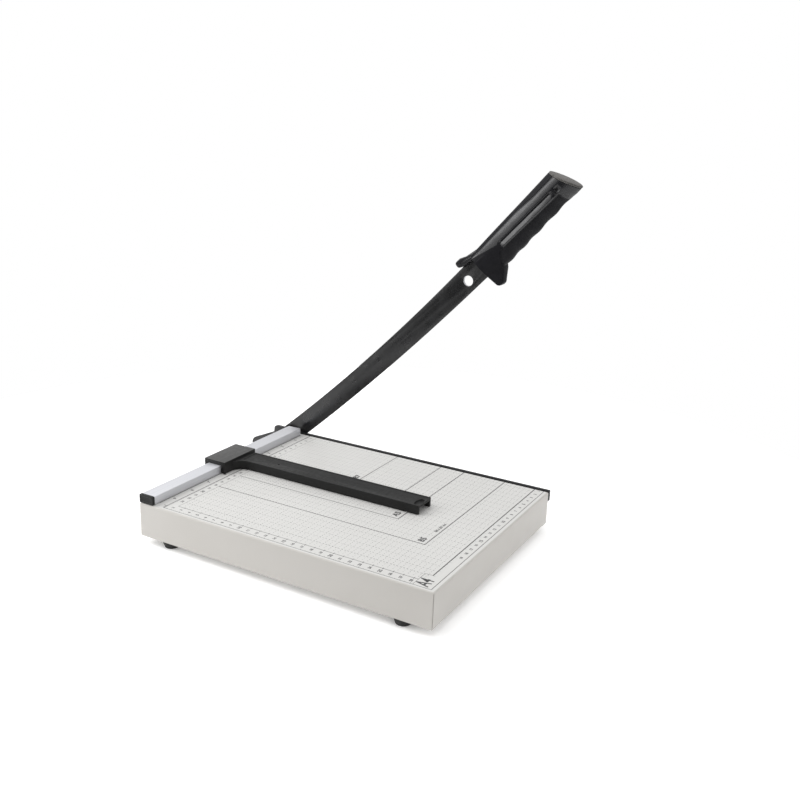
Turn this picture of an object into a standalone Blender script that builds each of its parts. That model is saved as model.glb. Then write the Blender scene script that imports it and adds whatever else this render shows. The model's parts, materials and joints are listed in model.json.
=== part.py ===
"""Guillotine paper cutter with a 320 x 250 mm steel deck, its blade arm raised.

Metres. +X is the user's right, where the cut is made, +Y is the back, where the paper
stop and the pivot are, and +Z is up. The user stands at -Y. The origin lies on the
table, below the middle of the whole cutter.

Many pieces lie in planes of constant X. Their outlines are lists of (forward, up):
forward is measured from the paper stop towards the user, up from the deck's surface.
"""
import math

import bmesh
import bpy
from mathutils import Vector

# Layout
GAP = 0.0003                      # between two pieces that touch
FOOT_HEIGHT = 0.0074              # from the table to the housing
HOUSING_HEIGHT = 0.0351
DECK_Z = FOOT_HEIGHT + HOUSING_HEIGHT
CUT_X = 0.12215                   # the plane in which the two blades pass
STOP_Y = 0.11529                  # the face that the paper is pushed against

# Housing: a folded steel pan, open below
DECK_FRONT = 0.3045               # forward of the stop
DECK_BACK = -0.0165
SHEET = 0.0012
HOUSING_LEFT_X = CUT_X - 0.2575
HOUSING_RIGHT_X = CUT_X - 0.005
FLANGE_SIDE = 0.024
FLANGE_END = 0.014
FOLD_RADIUS = 0.0018
SCREW_HOLE_RADIUS = 0.0024
BRACE_FORWARD = (0.070, 0.215)

# Fixed blade and the bar that backs it
KNIFE_THICKNESS = 0.0047
KNIFE_DEPTH = 0.0115
KNIFE_SCREWS = (0.020, 0.108, 0.196, 0.284)
SCREW_DROP = 0.0062

# Feet
FEET_FORWARD = (0.0135, 0.2715)
FEET_INSET = 0.0112
FOOT_TOP_RADIUS = 0.0089
FOOT_END_RADIUS = 0.0070

# Paper stop rail
RAIL_HEIGHT = 0.0085
RAIL_WALL = 0.0016
RAIL_RIGHT_X = CUT_X - 0.0107
RAIL_LEFT_X = HOUSING_LEFT_X + 0.0038
RAIL_SCREW_X = (CUT_X - 0.228, CUT_X - 0.038)

# Sliding gauge
GAUGE_LEFT_X = CUT_X - 0.1552
GAUGE_RIGHT_X = CUT_X - 0.1035
GAUGE_TOP = 0.0130
ARM_LEFT_X = CUT_X - 0.1313
ARM_RIGHT_X = CUT_X - 0.1056
ARM_TIP = 0.2215
ARM_TOP = 0.0098
SKIRT_FRONT = 0.0054
SKIRT_BACK = -0.0214
SKIRT_END = -0.0050               # how far the back skirt hangs, from the deck

# Blade arm
PIVOT = (-0.0415, -0.0170)        # forward, up
BLADE_THICKNESS = 0.0028
BLADE_X = CUT_X + GAP             # its inner face
HOLE_RADIUS = 0.0053
BOLT_RADIUS = 0.0040
BUSHING_RADIUS = 0.0060
WASHER_THICKNESS = 0.0014

# Bracket that carries the pivot, and the pin that stops the arm when it is open
BRACKET_INNER_X = CUT_X - 0.0055
BRACKET_OUTER_X = CUT_X - 0.0021
BRACKET_THICKNESS = 0.003         # of its flange on the back wall
BRACKET_BOLTS = ((CUT_X - 0.016, -0.0215), (CUT_X - 0.032, -0.0215),
                 (CUT_X - 0.024, -0.0125))
STOP_PIN = (PIVOT[0] - 0.0051, PIVOT[1] - 0.0183)

# Handle: its own axes are s, along it from the guard, and h, up from its upper edge
HANDLE_ANGLE = math.radians(49.1)
HANDLE_START = (0.2028, 0.2334)
HANDLE_LENGTH = 0.1104            # along the upper edge
HANDLE_DEPTH = 0.0337
HANDLE_SLANT = 0.359              # of the end face: how much longer for each metre down
HANDLE_HALF_WIDTH = 0.0115
HANDLE_MID_X = CUT_X + GAP + BLADE_THICKNESS / 2
CAP_THICKNESS = 0.0022
HANDLE_SCREWS = ((0.028, -0.0150), (0.076, -0.0150))
FINGER_PITCH = 0.0192
FINGER_DEPTH = 0.0015
FINGER_END = 0.1055               # the last finger hollow ends here
HANDLE_SIDES = 24

for leftover in list(bpy.data.objects):
    bpy.data.objects.remove(leftover)


# ---------------------------------------------------------------- materials

def make_material(name, color, roughness, metallic=0.0):
    material = bpy.data.materials.new(name)
    material.use_nodes = True
    shader = material.node_tree.nodes["Principled BSDF"]
    shader.inputs["Base Color"].default_value = (*color, 1.0)
    shader.inputs["Roughness"].default_value = roughness
    shader.inputs["Metallic"].default_value = metallic
    material.diffuse_color = (*color, 1.0)
    return material


GREY_PAINT = make_material("grey_paint", (0.66, 0.65, 0.61), 0.5)
BLACK_PAINT = make_material("black_paint", (0.018, 0.018, 0.020), 0.38)
KNIFE_STEEL = make_material("knife_steel", (0.03, 0.03, 0.032), 0.35, 0.6)
ALUMINIUM = make_material("aluminium", (0.72, 0.73, 0.75), 0.35, 1.0)
BLACK_PLASTIC = make_material("black_plastic", (0.035, 0.035, 0.037), 0.55)
GRIP_PLASTIC = make_material("grip_plastic", (0.016, 0.016, 0.019), 0.32)
RUBBER = make_material("rubber", (0.02, 0.02, 0.02), 0.8)
ZINC = make_material("zinc_steel", (0.60, 0.60, 0.60), 0.35, 1.0)
BRONZE = make_material("bronze", (0.55, 0.36, 0.16), 0.4, 1.0)


# ---------------------------------------------------------------- helpers

def place(x, forward, up):
    """World point for an X and a (forward, up) position."""
    return Vector((x, STOP_Y - forward, DECK_Z + up))


def finish(name, bm, material, origin=(0, 0, 0), smooth=30):
    """Turn a bmesh in world coordinates into an object with its origin at origin."""
    bmesh.ops.translate(bm, verts=bm.verts, vec=-Vector(origin))
    bmesh.ops.recalc_face_normals(bm, faces=bm.faces)
    mesh = bpy.data.meshes.new(name)
    bm.to_mesh(mesh)
    bm.free()
    mesh.materials.append(material)
    if smooth:
        mesh.shade_smooth()
        mesh.set_sharp_from_angle(angle=math.radians(smooth))
    obj = bpy.data.objects.new(name, mesh)
    obj.location = origin
    bpy.context.collection.objects.link(obj)
    return obj


def prism(ring_a, ring_b):
    """A closed solid between two matching rings of points."""
    bm = bmesh.new()
    a = [bm.verts.new(p) for p in ring_a]
    b = [bm.verts.new(p) for p in ring_b]
    bm.faces.new(a)
    bm.faces.new(list(reversed(b)))
    for i in range(len(a)):
        j = (i + 1) % len(a)
        bm.faces.new((a[i], b[i], b[j], a[j]))
    return bm


def side_plate(outline, x_low, x_high):
    """An outline of (forward, up) made solid from x_low to x_high."""
    return prism([place(x_low, f, u) for f, u in outline],
                 [place(x_high, f, u) for f, u in outline])


def block(x_low, x_high, forward_low, forward_high, up_low, up_high):
    outline = ((forward_low, up_low), (forward_high, up_low),
               (forward_high, up_high), (forward_low, up_high))
    return side_plate(outline, x_low, x_high)


def arc(centre, radius, start, end, steps):
    """Points on an arc in a plane, angles in degrees."""
    points = []
    for i in range(steps + 1):
        angle = math.radians(start + (end - start) * i / steps)
        points.append((centre[0] + radius * math.cos(angle),
                       centre[1] + radius * math.sin(angle)))
    return points


def bowed(start, end, bow, steps):
    """Points from start to end along a shallow arc, bow to the right of its chord."""
    dx, dy = end[0] - start[0], end[1] - start[1]
    length = math.hypot(dx, dy)
    points = []
    for i in range(steps + 1):
        t = i / steps
        push = 4 * bow * t * (1 - t) / length
        points.append((start[0] + dx * t + dy * push, start[1] + dy * t - dx * push))
    return points


def turned(profile, centre, axis, steps=20):
    """A solid of revolution. Profile: (radius, along) from one end to the other.

    A profile that starts and ends at radius 0 is a pin; one that doesn't is closed
    into a ring by joining its end to its start.
    """
    bm = bmesh.new()
    turn = Vector((0, 0, 1)).rotation_difference(Vector(axis)).to_matrix()
    rings = []
    for radius, along in profile:
        if radius == 0:
            rings.append([bm.verts.new(turn @ Vector((0, 0, along)) + Vector(centre))])
            continue
        ring = []
        for i in range(steps):
            angle = 2 * math.pi * i / steps
            local = Vector((radius * math.cos(angle), radius * math.sin(angle), along))
            ring.append(bm.verts.new(turn @ local + Vector(centre)))
        rings.append(ring)
    pairs = list(zip(rings, rings[1:]))
    if profile[0][0] != 0:
        pairs.append((rings[-1], rings[0]))
    for low, high in pairs:
        for i in range(steps):
            j = (i + 1) % steps
            corners = [low[i % len(low)], low[j % len(low)],
                       high[j % len(high)], high[i % len(high)]]
            unique = list(dict.fromkeys(corners))
            if len(unique) > 2:
                bm.faces.new(unique)
    return bm


def washer(name, centre, outer, inner, thickness, material, axis=(1, 0, 0)):
    """A flat ring that starts at centre and grows along axis."""
    profile = ((inner, 0), (outer, 0), (outer, thickness), (inner, thickness))
    return finish(name, turned(profile, centre, axis, 24), material)


def cutter(bm):
    obj = finish("cutter", bm, GREY_PAINT, smooth=0)
    obj.hide_render = True
    obj.display_type = "WIRE"
    return obj


def combine(obj, bm, operation="DIFFERENCE"):
    """Cut a tool's shape out of obj, or join it on."""
    modifier = obj.modifiers.new(operation.lower(), "BOOLEAN")
    modifier.operation = operation
    modifier.solver = "EXACT"
    modifier.object = cutter(bm)
    return modifier


def drill(obj, start, axis, length, radius, steps=20):
    """A round hole from start along axis."""
    profile = ((0, 0), (radius, 0), (radius, length), (0, length))
    return combine(obj, turned(profile, start, axis, steps))


def soften(obj, width, segments=2, angle=40):
    modifier = obj.modifiers.new("soften", "BEVEL")
    modifier.width = width
    modifier.segments = segments
    modifier.limit_method = "ANGLE"
    modifier.angle_limit = math.radians(angle)
    return modifier


def hexagon_head(name, centre, axis, across, height, shank_radius, length, material):
    """A hexagon bolt: its head grows along axis from centre, its shank the other way."""
    obj = finish(name, turned(((0, 0), (across / math.sqrt(3), 0),
                               (across / math.sqrt(3), height), (0, height)),
                              centre, axis, 6), material)
    along = Vector(axis).normalized()
    shank = ((0, -0.0006), (shank_radius, -0.0006),
             (shank_radius, length), (0, length))
    combine(obj, turned(shank, centre, -along, 20), "UNION")
    return obj


def hexagon_nut(name, centre, axis, across, height, bore, material):
    """A hexagon nut that grows along axis from centre, with a round bore."""
    obj = finish(name, turned(((0, 0), (across / math.sqrt(3), 0),
                               (across / math.sqrt(3), height), (0, height)),
                              centre, axis, 6), material)
    start = Vector(centre) - 0.001 * Vector(axis)
    drill(obj, start, axis, height + 0.003, bore, 20)
    return obj


def pan_screw(name, centre, axis, head_radius, head_height, shank_radius, length,
              material=ZINC):
    """A domed screw: its head grows along axis from centre, its shank the other way."""
    profile = ((0, -length), (shank_radius, -length), (shank_radius, 0),
               (head_radius, 0), (head_radius, head_height * 0.4),
               (head_radius * 0.72, head_height * 0.85), (0, head_height))
    return finish(name, turned(profile, centre, axis, 16), material)


# ---------------------------------------------------------------- housing and deck

def foot_places():
    for end, forward in zip(("back", "front"), FEET_FORWARD):
        for side, x in (("left", HOUSING_LEFT_X + FEET_INSET),
                        ("right", HOUSING_RIGHT_X - FEET_INSET)):
            yield end + "_" + side, x, forward


def make_housing():
    """The folded pan: deck, four walls and the flanges that the feet stand on."""
    housing = finish("base_housing", block(HOUSING_LEFT_X, HOUSING_RIGHT_X, DECK_BACK,
                                           DECK_FRONT, -HOUSING_HEIGHT, 0), GREY_PAINT)
    soften(housing, FOLD_RADIUS, 3)
    floor = -HOUSING_HEIGHT
    combine(housing, block(HOUSING_LEFT_X + SHEET, HOUSING_RIGHT_X - SHEET,
                           DECK_BACK + SHEET, DECK_FRONT - SHEET,
                           floor + SHEET, -SHEET))
    combine(housing, block(HOUSING_LEFT_X + FLANGE_SIDE, HOUSING_RIGHT_X - FLANGE_SIDE,
                           DECK_BACK + FLANGE_END, DECK_FRONT - FLANGE_END,
                           floor - 0.005, floor + 0.005))
    # reliefs where the front wall's flange was notched before folding
    for x in (HOUSING_LEFT_X + 0.019, HOUSING_RIGHT_X - 0.013):
        combine(housing, block(x - 0.0045, x + 0.0045, DECK_FRONT - SHEET - 0.002,
                               DECK_FRONT + 0.002, floor - 0.002, floor + 0.0016))
    for _, x, forward in foot_places():
        drill(housing, place(x, forward, floor - 0.002), (0, 0, 1), 0.006, SCREW_HOLE_RADIUS,
              12)
    for x in RAIL_SCREW_X:
        drill(housing, place(x, -0.008, -0.004), (0, 0, 1), 0.006, 0.0021, 12)
    for forward in KNIFE_SCREWS:
        drill(housing, place(HOUSING_RIGHT_X - 0.004, forward, -SCREW_DROP),
              (1, 0, 0), 0.008, 0.0023, 12)
    for x, up in BRACKET_BOLTS:
        drill(housing, place(x, DECK_BACK + 0.004, up), (0, 1, 0), 0.008, 0.0028, 12)
    return housing


def make_brace(name, forward):
    """A folded channel across the pan, open side up, under the deck."""
    half, tall, wall = 0.011, 0.009, 0.0012
    top = -SHEET - GAP
    outline = ((forward - half, top), (forward - half, top - tall),
               (forward + half, top - tall), (forward + half, top),
               (forward + half - wall, top), (forward + half - wall, top - tall + wall),
               (forward - half + wall, top - tall + wall), (forward - half + wall, top))
    return finish(name, side_plate(outline, HOUSING_LEFT_X + SHEET + 0.001,
                                   HOUSING_RIGHT_X - SHEET - 0.0055), ZINC)


def make_feet():
    foot_top = FOOT_HEIGHT - GAP
    for name, x, forward in foot_places():
        profile = ((0.0024, 0.0040), (0.0046, 0.0040), (0.0046, 0),
                   (FOOT_END_RADIUS - 0.0008, 0), (FOOT_END_RADIUS, 0.0008),
                   (FOOT_TOP_RADIUS, foot_top - 0.0012), (FOOT_TOP_RADIUS, foot_top),
                   (0.0024, foot_top))
        ground = Vector((x, STOP_Y - forward, 0))
        finish("foot_" + name, turned(profile, ground, (0, 0, 1), 28), RUBBER)
        pan_screw("foot_screw_" + name, ground + Vector((0, 0, 0.0037)), (0, 0, -1),
                  0.0040, 0.0022, 0.0020, 0.0095)


# ---------------------------------------------------------------- fixed blade

def make_knife():
    """The fixed blade along the deck's right edge, and the bar inside the pan."""
    right = CUT_X
    left = CUT_X - KNIFE_THICKNESS
    chamfer = 0.0012
    outline = ((DECK_BACK, -KNIFE_DEPTH), (DECK_FRONT - chamfer, -KNIFE_DEPTH),
               (DECK_FRONT, -KNIFE_DEPTH + chamfer), (DECK_FRONT, 0), (DECK_BACK, 0))
    knife = finish("fixed_blade", side_plate(outline, left, right), KNIFE_STEEL)
    inner = HOUSING_RIGHT_X - SHEET - GAP
    bar = finish("fixed_blade_backing_bar",
                 block(inner - 0.004, inner, DECK_BACK + 0.006, DECK_FRONT - 0.006,
                       -0.0125, -SHEET - GAP - 0.0002), ZINC)
    for number, forward in enumerate(KNIFE_SCREWS, 1):
        centre = place(right - GAP, forward, -SCREW_DROP)
        cone = ((0, 0.002), (0.0045, 0.002), (0.0045, 0), (0.0024, -0.0022),
                (0.0024, -0.012), (0, -0.012))
        combine(knife, turned(cone, centre, (1, 0, 0), 20))
        drill(bar, place(inner - 0.006, forward, -SCREW_DROP), (1, 0, 0), 0.008,
              0.0023, 16)
        screw = ((0, -0.0135), (0.0020, -0.0135), (0.0020, -0.0022), (0.0041, 0),
                 (0, 0))
        head = finish("fixed_blade_screw_%d" % number,
                      turned(screw, centre, (1, 0, 0), 20), ZINC)
        slot = block(centre.x - 0.0009, centre.x + 0.001, forward - 0.006,
                     forward + 0.006, -SCREW_DROP - 0.0005, -SCREW_DROP + 0.0005)
        combine(head, slot)


# ---------------------------------------------------------------- paper stop

def rail_outline():
    """Section of the extrusion; the groove in its back face guides the gauge."""
    return ((DECK_BACK, GAP), (0, GAP), (0, RAIL_HEIGHT), (DECK_BACK, RAIL_HEIGHT),
            (DECK_BACK, 0.0058), (DECK_BACK + 0.0018, 0.0058),
            (DECK_BACK + 0.0018, 0.0030), (DECK_BACK, 0.0030))


def make_rail():
    rail = finish("stop_rail", side_plate(rail_outline(), RAIL_LEFT_X, RAIL_RIGHT_X),
                  ALUMINIUM)
    hollow = block(RAIL_LEFT_X - 0.01, RAIL_RIGHT_X + 0.01, DECK_BACK + 0.0034,
                   -RAIL_WALL, GAP + RAIL_WALL, RAIL_HEIGHT - RAIL_WALL)
    combine(rail, hollow)
    for number, x in enumerate(RAIL_SCREW_X, 1):
        drill(rail, place(x, -0.008, -0.001), (0, 0, 1), 0.004, 0.0021, 12)
        pan_screw("rail_screw_%d" % number, place(x, -0.008, -SHEET - GAP), (0, 0, -1),
                  0.0036, 0.0020, 0.0018, 0.0048)
    cap_left = HOUSING_LEFT_X + 0.0004
    cap_right = RAIL_LEFT_X - GAP
    cap = finish("rail_end_cap", block(cap_left, cap_right, DECK_BACK - 0.0002, 0.0004,
                                       GAP, RAIL_HEIGHT + 0.0004), BLACK_PLASTIC)
    soften(cap, 0.0006, 2)
    combine(cap, block(cap_right - 0.001, cap_right + 0.007, DECK_BACK + 0.0037,
                       -RAIL_WALL - GAP, GAP * 2 + RAIL_WALL,
                       RAIL_HEIGHT - RAIL_WALL - GAP), "UNION")


# ---------------------------------------------------------------- sliding gauge

def make_gauge():
    """The block that rides on the rail, in one moulding with its long arm."""
    clear = 0.0004
    outline = ((SKIRT_FRONT, 0.0006), (SKIRT_FRONT, GAUGE_TOP),
               (SKIRT_BACK, GAUGE_TOP), (SKIRT_BACK, SKIRT_END),
               (DECK_BACK - clear, SKIRT_END), (DECK_BACK - clear, 0.0034),
               (DECK_BACK + 0.0013, 0.0034), (DECK_BACK + 0.0013, 0.0054),
               (DECK_BACK - clear, 0.0054), (DECK_BACK - clear, RAIL_HEIGHT + clear),
               (clear, RAIL_HEIGHT + clear), (clear, 0.0006))
    gauge = finish("gauge_slider", side_plate(outline, GAUGE_LEFT_X, GAUGE_RIGHT_X),
                   BLACK_PLASTIC)
    root, fillet = SKIRT_FRONT - 0.002, 0.013
    fillet_centre = (ARM_LEFT_X - fillet, SKIRT_FRONT + fillet)
    plan = [(ARM_RIGHT_X, root), (ARM_RIGHT_X, ARM_TIP), (ARM_LEFT_X, ARM_TIP)]
    plan += [(x, f) for x, f in arc(fillet_centre, fillet, 0, -90, 6)]
    plan += [(ARM_LEFT_X - fillet, root)]
    combine(gauge, prism([place(x, f, 0.0006) for x, f in plan],
                         [place(x, f, ARM_TOP) for x, f in plan]), "UNION")
    rim, wall = 0.0016, 0.0028
    combine(gauge, block(ARM_LEFT_X + rim, ARM_RIGHT_X - rim, SKIRT_FRONT + 0.004,
                         ARM_TIP + 0.01, ARM_TOP - 0.0007, ARM_TOP + 0.01))
    combine(gauge, block(ARM_LEFT_X + wall, ARM_RIGHT_X - wall, SKIRT_FRONT + 0.003,
                         ARM_TIP + 0.010, -0.005, ARM_TOP - 0.0032))
    drill(gauge, place((ARM_LEFT_X + ARM_RIGHT_X) / 2, 0.048, ARM_TOP - 0.0017),
          (0, 0, 1), 0.006, 0.0011, 12)
    dish = []
    for up, across, along in ((-0.0026, 0.0052, 0.0020), (0.0010, 0.0073, 0.0040)):
        dish.append([place((ARM_LEFT_X + ARM_RIGHT_X) / 2 + 0.0008 + across * math.cos(a),
                           ARM_TIP - 0.0050 + along * math.sin(a), ARM_TOP + up)
                     for a in (2 * math.pi * k / 20 for k in range(20))])
    combine(gauge, prism(*dish))
    # pocket in the roof for the spring that steadies the block on the rail
    middle = (GAUGE_LEFT_X + GAUGE_RIGHT_X) / 2
    combine(gauge, block(middle - 0.019, middle + 0.019, -0.013, -0.003,
                         RAIL_HEIGHT - 0.002, RAIL_HEIGHT + 0.0022))
    strip, ends = 0.0004, RAIL_HEIGHT + 0.00105
    leaf = []
    for side in (0, strip):
        bow = bowed((middle - 0.018, ends + side), (middle + 0.018, ends + side),
                    0.0006, 10)
        leaf += bow if side == 0 else list(reversed(bow))
    finish("gauge_leaf_spring", prism([place(x, -0.012, up) for x, up in leaf],
                                      [place(x, -0.004, up) for x, up in leaf]), ZINC)


# ---------------------------------------------------------------- pivot

def make_bracket():
    """Angle bracket: a flange on the back wall and a cheek that carries the pivot."""
    back = DECK_BACK - GAP
    cheek = [(back, 0.0033)]
    cheek += arc((-0.0373, -0.0012), 0.0045, 90, 180, 4)
    cheek += [(-0.0422, -0.0070)]
    cheek += arc(PIVOT, 0.0100, 115, 190, 5)
    cheek += arc(STOP_PIN, 0.0042, 170, 280, 5)
    cheek += [(back, -0.0300)]
    bracket = finish("pivot_bracket", side_plate(cheek, BRACKET_INNER_X,
                                                 BRACKET_OUTER_X), BLACK_PAINT)
    combine(bracket, block(CUT_X - 0.040, BRACKET_INNER_X + 0.001,
                           back - BRACKET_THICKNESS, back, -0.0290, -0.0070), "UNION")
    drill(bracket, place(BRACKET_INNER_X - 0.002, *PIVOT), (1, 0, 0), 0.010,
          BOLT_RADIUS + GAP, 24)
    drill(bracket, place(BRACKET_INNER_X - 0.002, *STOP_PIN), (1, 0, 0), 0.010,
          0.0023, 16)
    for number, (x, up) in enumerate(BRACKET_BOLTS, 1):
        drill(bracket, place(x, back + 0.002, up), (0, 1, 0), 0.008, 0.0028, 12)
        seat = back - BRACKET_THICKNESS - GAP
        hexagon_head("bracket_bolt_%d" % number, place(x, seat, up), (0, 1, 0), 0.0078,
                     0.0030, 0.0024, 0.0105, ZINC)
        hexagon_nut("bracket_nut_%d" % number, place(x, DECK_BACK + SHEET + GAP, up),
                    (0, -1, 0), 0.0078, 0.0036, 0.0027, ZINC)
    pin = ((0, 0), (0.0020, 0), (0.0020, 0.0042), (0.0033, 0.0042),
           (0.0033, 0.0095), (0.0028, 0.0100), (0, 0.0100))
    finish("opening_stop_pin", turned(pin, place(BRACKET_INNER_X - 0.0006, *STOP_PIN),
                                      (1, 0, 0), 20), ZINC)


def make_pivot():
    """The bolt that the arm turns on, with its washers, spring, cup and lock nut."""
    arm_outer = BLADE_X + BLADE_THICKNESS
    washer("pivot_head_washer", place(arm_outer + GAP, *PIVOT), 0.0095,
           BOLT_RADIUS + GAP, WASHER_THICKNESS, ZINC)
    bolt_seat = arm_outer + 2 * GAP + WASHER_THICKNESS
    bolt_end = CUT_X - 0.0290
    hexagon_head("pivot_bolt", place(bolt_seat, *PIVOT), (1, 0, 0), 0.0130, 0.0053,
                 BOLT_RADIUS, bolt_seat - bolt_end, ZINC)
    washer("pivot_spacer_washer", place(BRACKET_OUTER_X + GAP, *PIVOT), 0.0085,
           BOLT_RADIUS + GAP, 0.0015, BRONZE)
    inner = BRACKET_INNER_X - GAP
    washer("pivot_inner_washer", place(inner, *PIVOT), 0.0085, BOLT_RADIUS + GAP,
           WASHER_THICKNESS, ZINC, (-1, 0, 0))
    spring_start = inner - WASHER_THICKNESS - GAP
    spring_length = 0.0098
    make_spring("pivot_spring", spring_start, spring_length)
    cup_start = spring_start - spring_length - GAP
    washer("pivot_spring_washer", place(cup_start, *PIVOT), 0.0085,
           BOLT_RADIUS + GAP, WASHER_THICKNESS, ZINC, (-1, 0, 0))
    nut_start = cup_start - WASHER_THICKNESS - GAP
    hexagon_nut("pivot_lock_nut", place(nut_start, *PIVOT), (-1, 0, 0), 0.0130, 0.0068,
                BOLT_RADIUS + GAP, ZINC)


def make_spring(name, start_x, length):
    """A compression spring round the pivot bolt, from start_x towards -X."""
    turns, steps, sides, wire, coil = 4, 18, 8, 0.0008, 0.0058
    rise = length - 2 * wire
    rings = []
    bm = bmesh.new()
    for i in range(turns * steps + 1):
        angle = 2 * math.pi * i / steps
        centre = place(start_x - wire - rise * i / (turns * steps), *PIVOT)
        out = Vector((0, math.cos(angle), math.sin(angle)))
        ring = []
        for k in range(sides):
            around = 2 * math.pi * k / sides
            offset = out * math.cos(around) + Vector((1, 0, 0)) * math.sin(around)
            ring.append(bm.verts.new(centre + out * coil + offset * wire))
        rings.append(ring)
    for a, b in zip(rings, rings[1:]):
        for k in range(sides):
            j = (k + 1) % sides
            bm.faces.new((a[k], a[j], b[j], b[k]))
    bm.faces.new(rings[0])
    bm.faces.new(list(reversed(rings[-1])))
    return finish(name, bm, ZINC)


# ---------------------------------------------------------------- blade arm

def on_handle(s, h):
    """(forward, up) of a point given along and above the handle's upper edge."""
    cos, sin = math.cos(HANDLE_ANGLE), math.sin(HANDLE_ANGLE)
    return (HANDLE_START[0] + s * cos - h * sin, HANDLE_START[1] + s * sin + h * cos)


def make_blade():
    """The moving blade: a curved plate with its tang, pivot eye and stop tail."""
    edge = bowed((-0.0198, -0.0191), on_handle(-0.004, -0.0277), 0.0046, 16)
    tang = [on_handle(0.003, -0.0255), on_handle(0.086, -0.0230),
            on_handle(0.090, -0.0190), on_handle(0.090, -0.0110),
            on_handle(0.086, -0.0070), on_handle(0.004, -0.0045)]
    back = list(reversed(bowed((-0.0304, 0.0020), on_handle(-0.012, -0.0022), 0.0054,
                               14)))
    tail = [(-0.0388, -0.0050), (-0.0467, -0.0077)]
    tail += arc((-0.0713, -0.0276), 0.0080, 114, 294, 9)
    tail += arc(PIVOT, 0.0120, 262, 298, 3)
    outline = edge + tang + back + tail
    blade = finish("blade_arm", side_plate(outline, BLADE_X, BLADE_X + BLADE_THICKNESS),
                   BLACK_PAINT, origin=place(CUT_X, *PIVOT))
    drill(blade, place(BLADE_X - 0.002, *PIVOT), (1, 0, 0), 0.008,
          BUSHING_RADIUS + GAP, 28)
    drill(blade, place(BLADE_X - 0.002, *on_handle(-0.0246, -0.0159)), (1, 0, 0),
          0.008, HOLE_RADIUS, 24)
    for s, h in HANDLE_SCREWS:
        drill(blade, place(BLADE_X - 0.002, *on_handle(s, h)), (1, 0, 0), 0.008,
              SCREW_HOLE_RADIUS, 18)
    bushing = ((BOLT_RADIUS + GAP, 0), (BUSHING_RADIUS, 0),
               (BUSHING_RADIUS, BLADE_THICKNESS), (BOLT_RADIUS + GAP, BLADE_THICKNESS))
    finish("pivot_bushing", turned(bushing, place(BLADE_X, *PIVOT), (1, 0, 0), 28),
           BRONZE)


def grip_section(s):
    """Lower edge and half width of the grip at a distance s along it."""
    low = -HANDLE_DEPTH
    if s < FINGER_END:
        wave = 0.5 - 0.5 * math.cos(2 * math.pi * (s - 0.0252) / FINGER_PITCH)
        low += FINGER_DEPTH * (0.35 + 0.65 * wave)
    half = HANDLE_HALF_WIDTH * (0.86 + 0.14 * min(1, max(0, s / 0.05)))
    return low, half


def handle_ring(half, low, s_of):
    """A rounded-off oval across the handle; s_of gives s for a height h."""
    ring = []
    for k in range(HANDLE_SIDES):
        angle = 2 * math.pi * k / HANDLE_SIDES
        cos, sin = math.cos(angle), math.sin(angle)
        x = math.copysign(abs(cos) ** 0.8, cos) * half
        h = (1 - math.copysign(abs(sin) ** 0.8, sin)) / 2 * low
        ring.append(place(HANDLE_MID_X + x, *on_handle(s_of(h), h)))
    return ring


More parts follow.
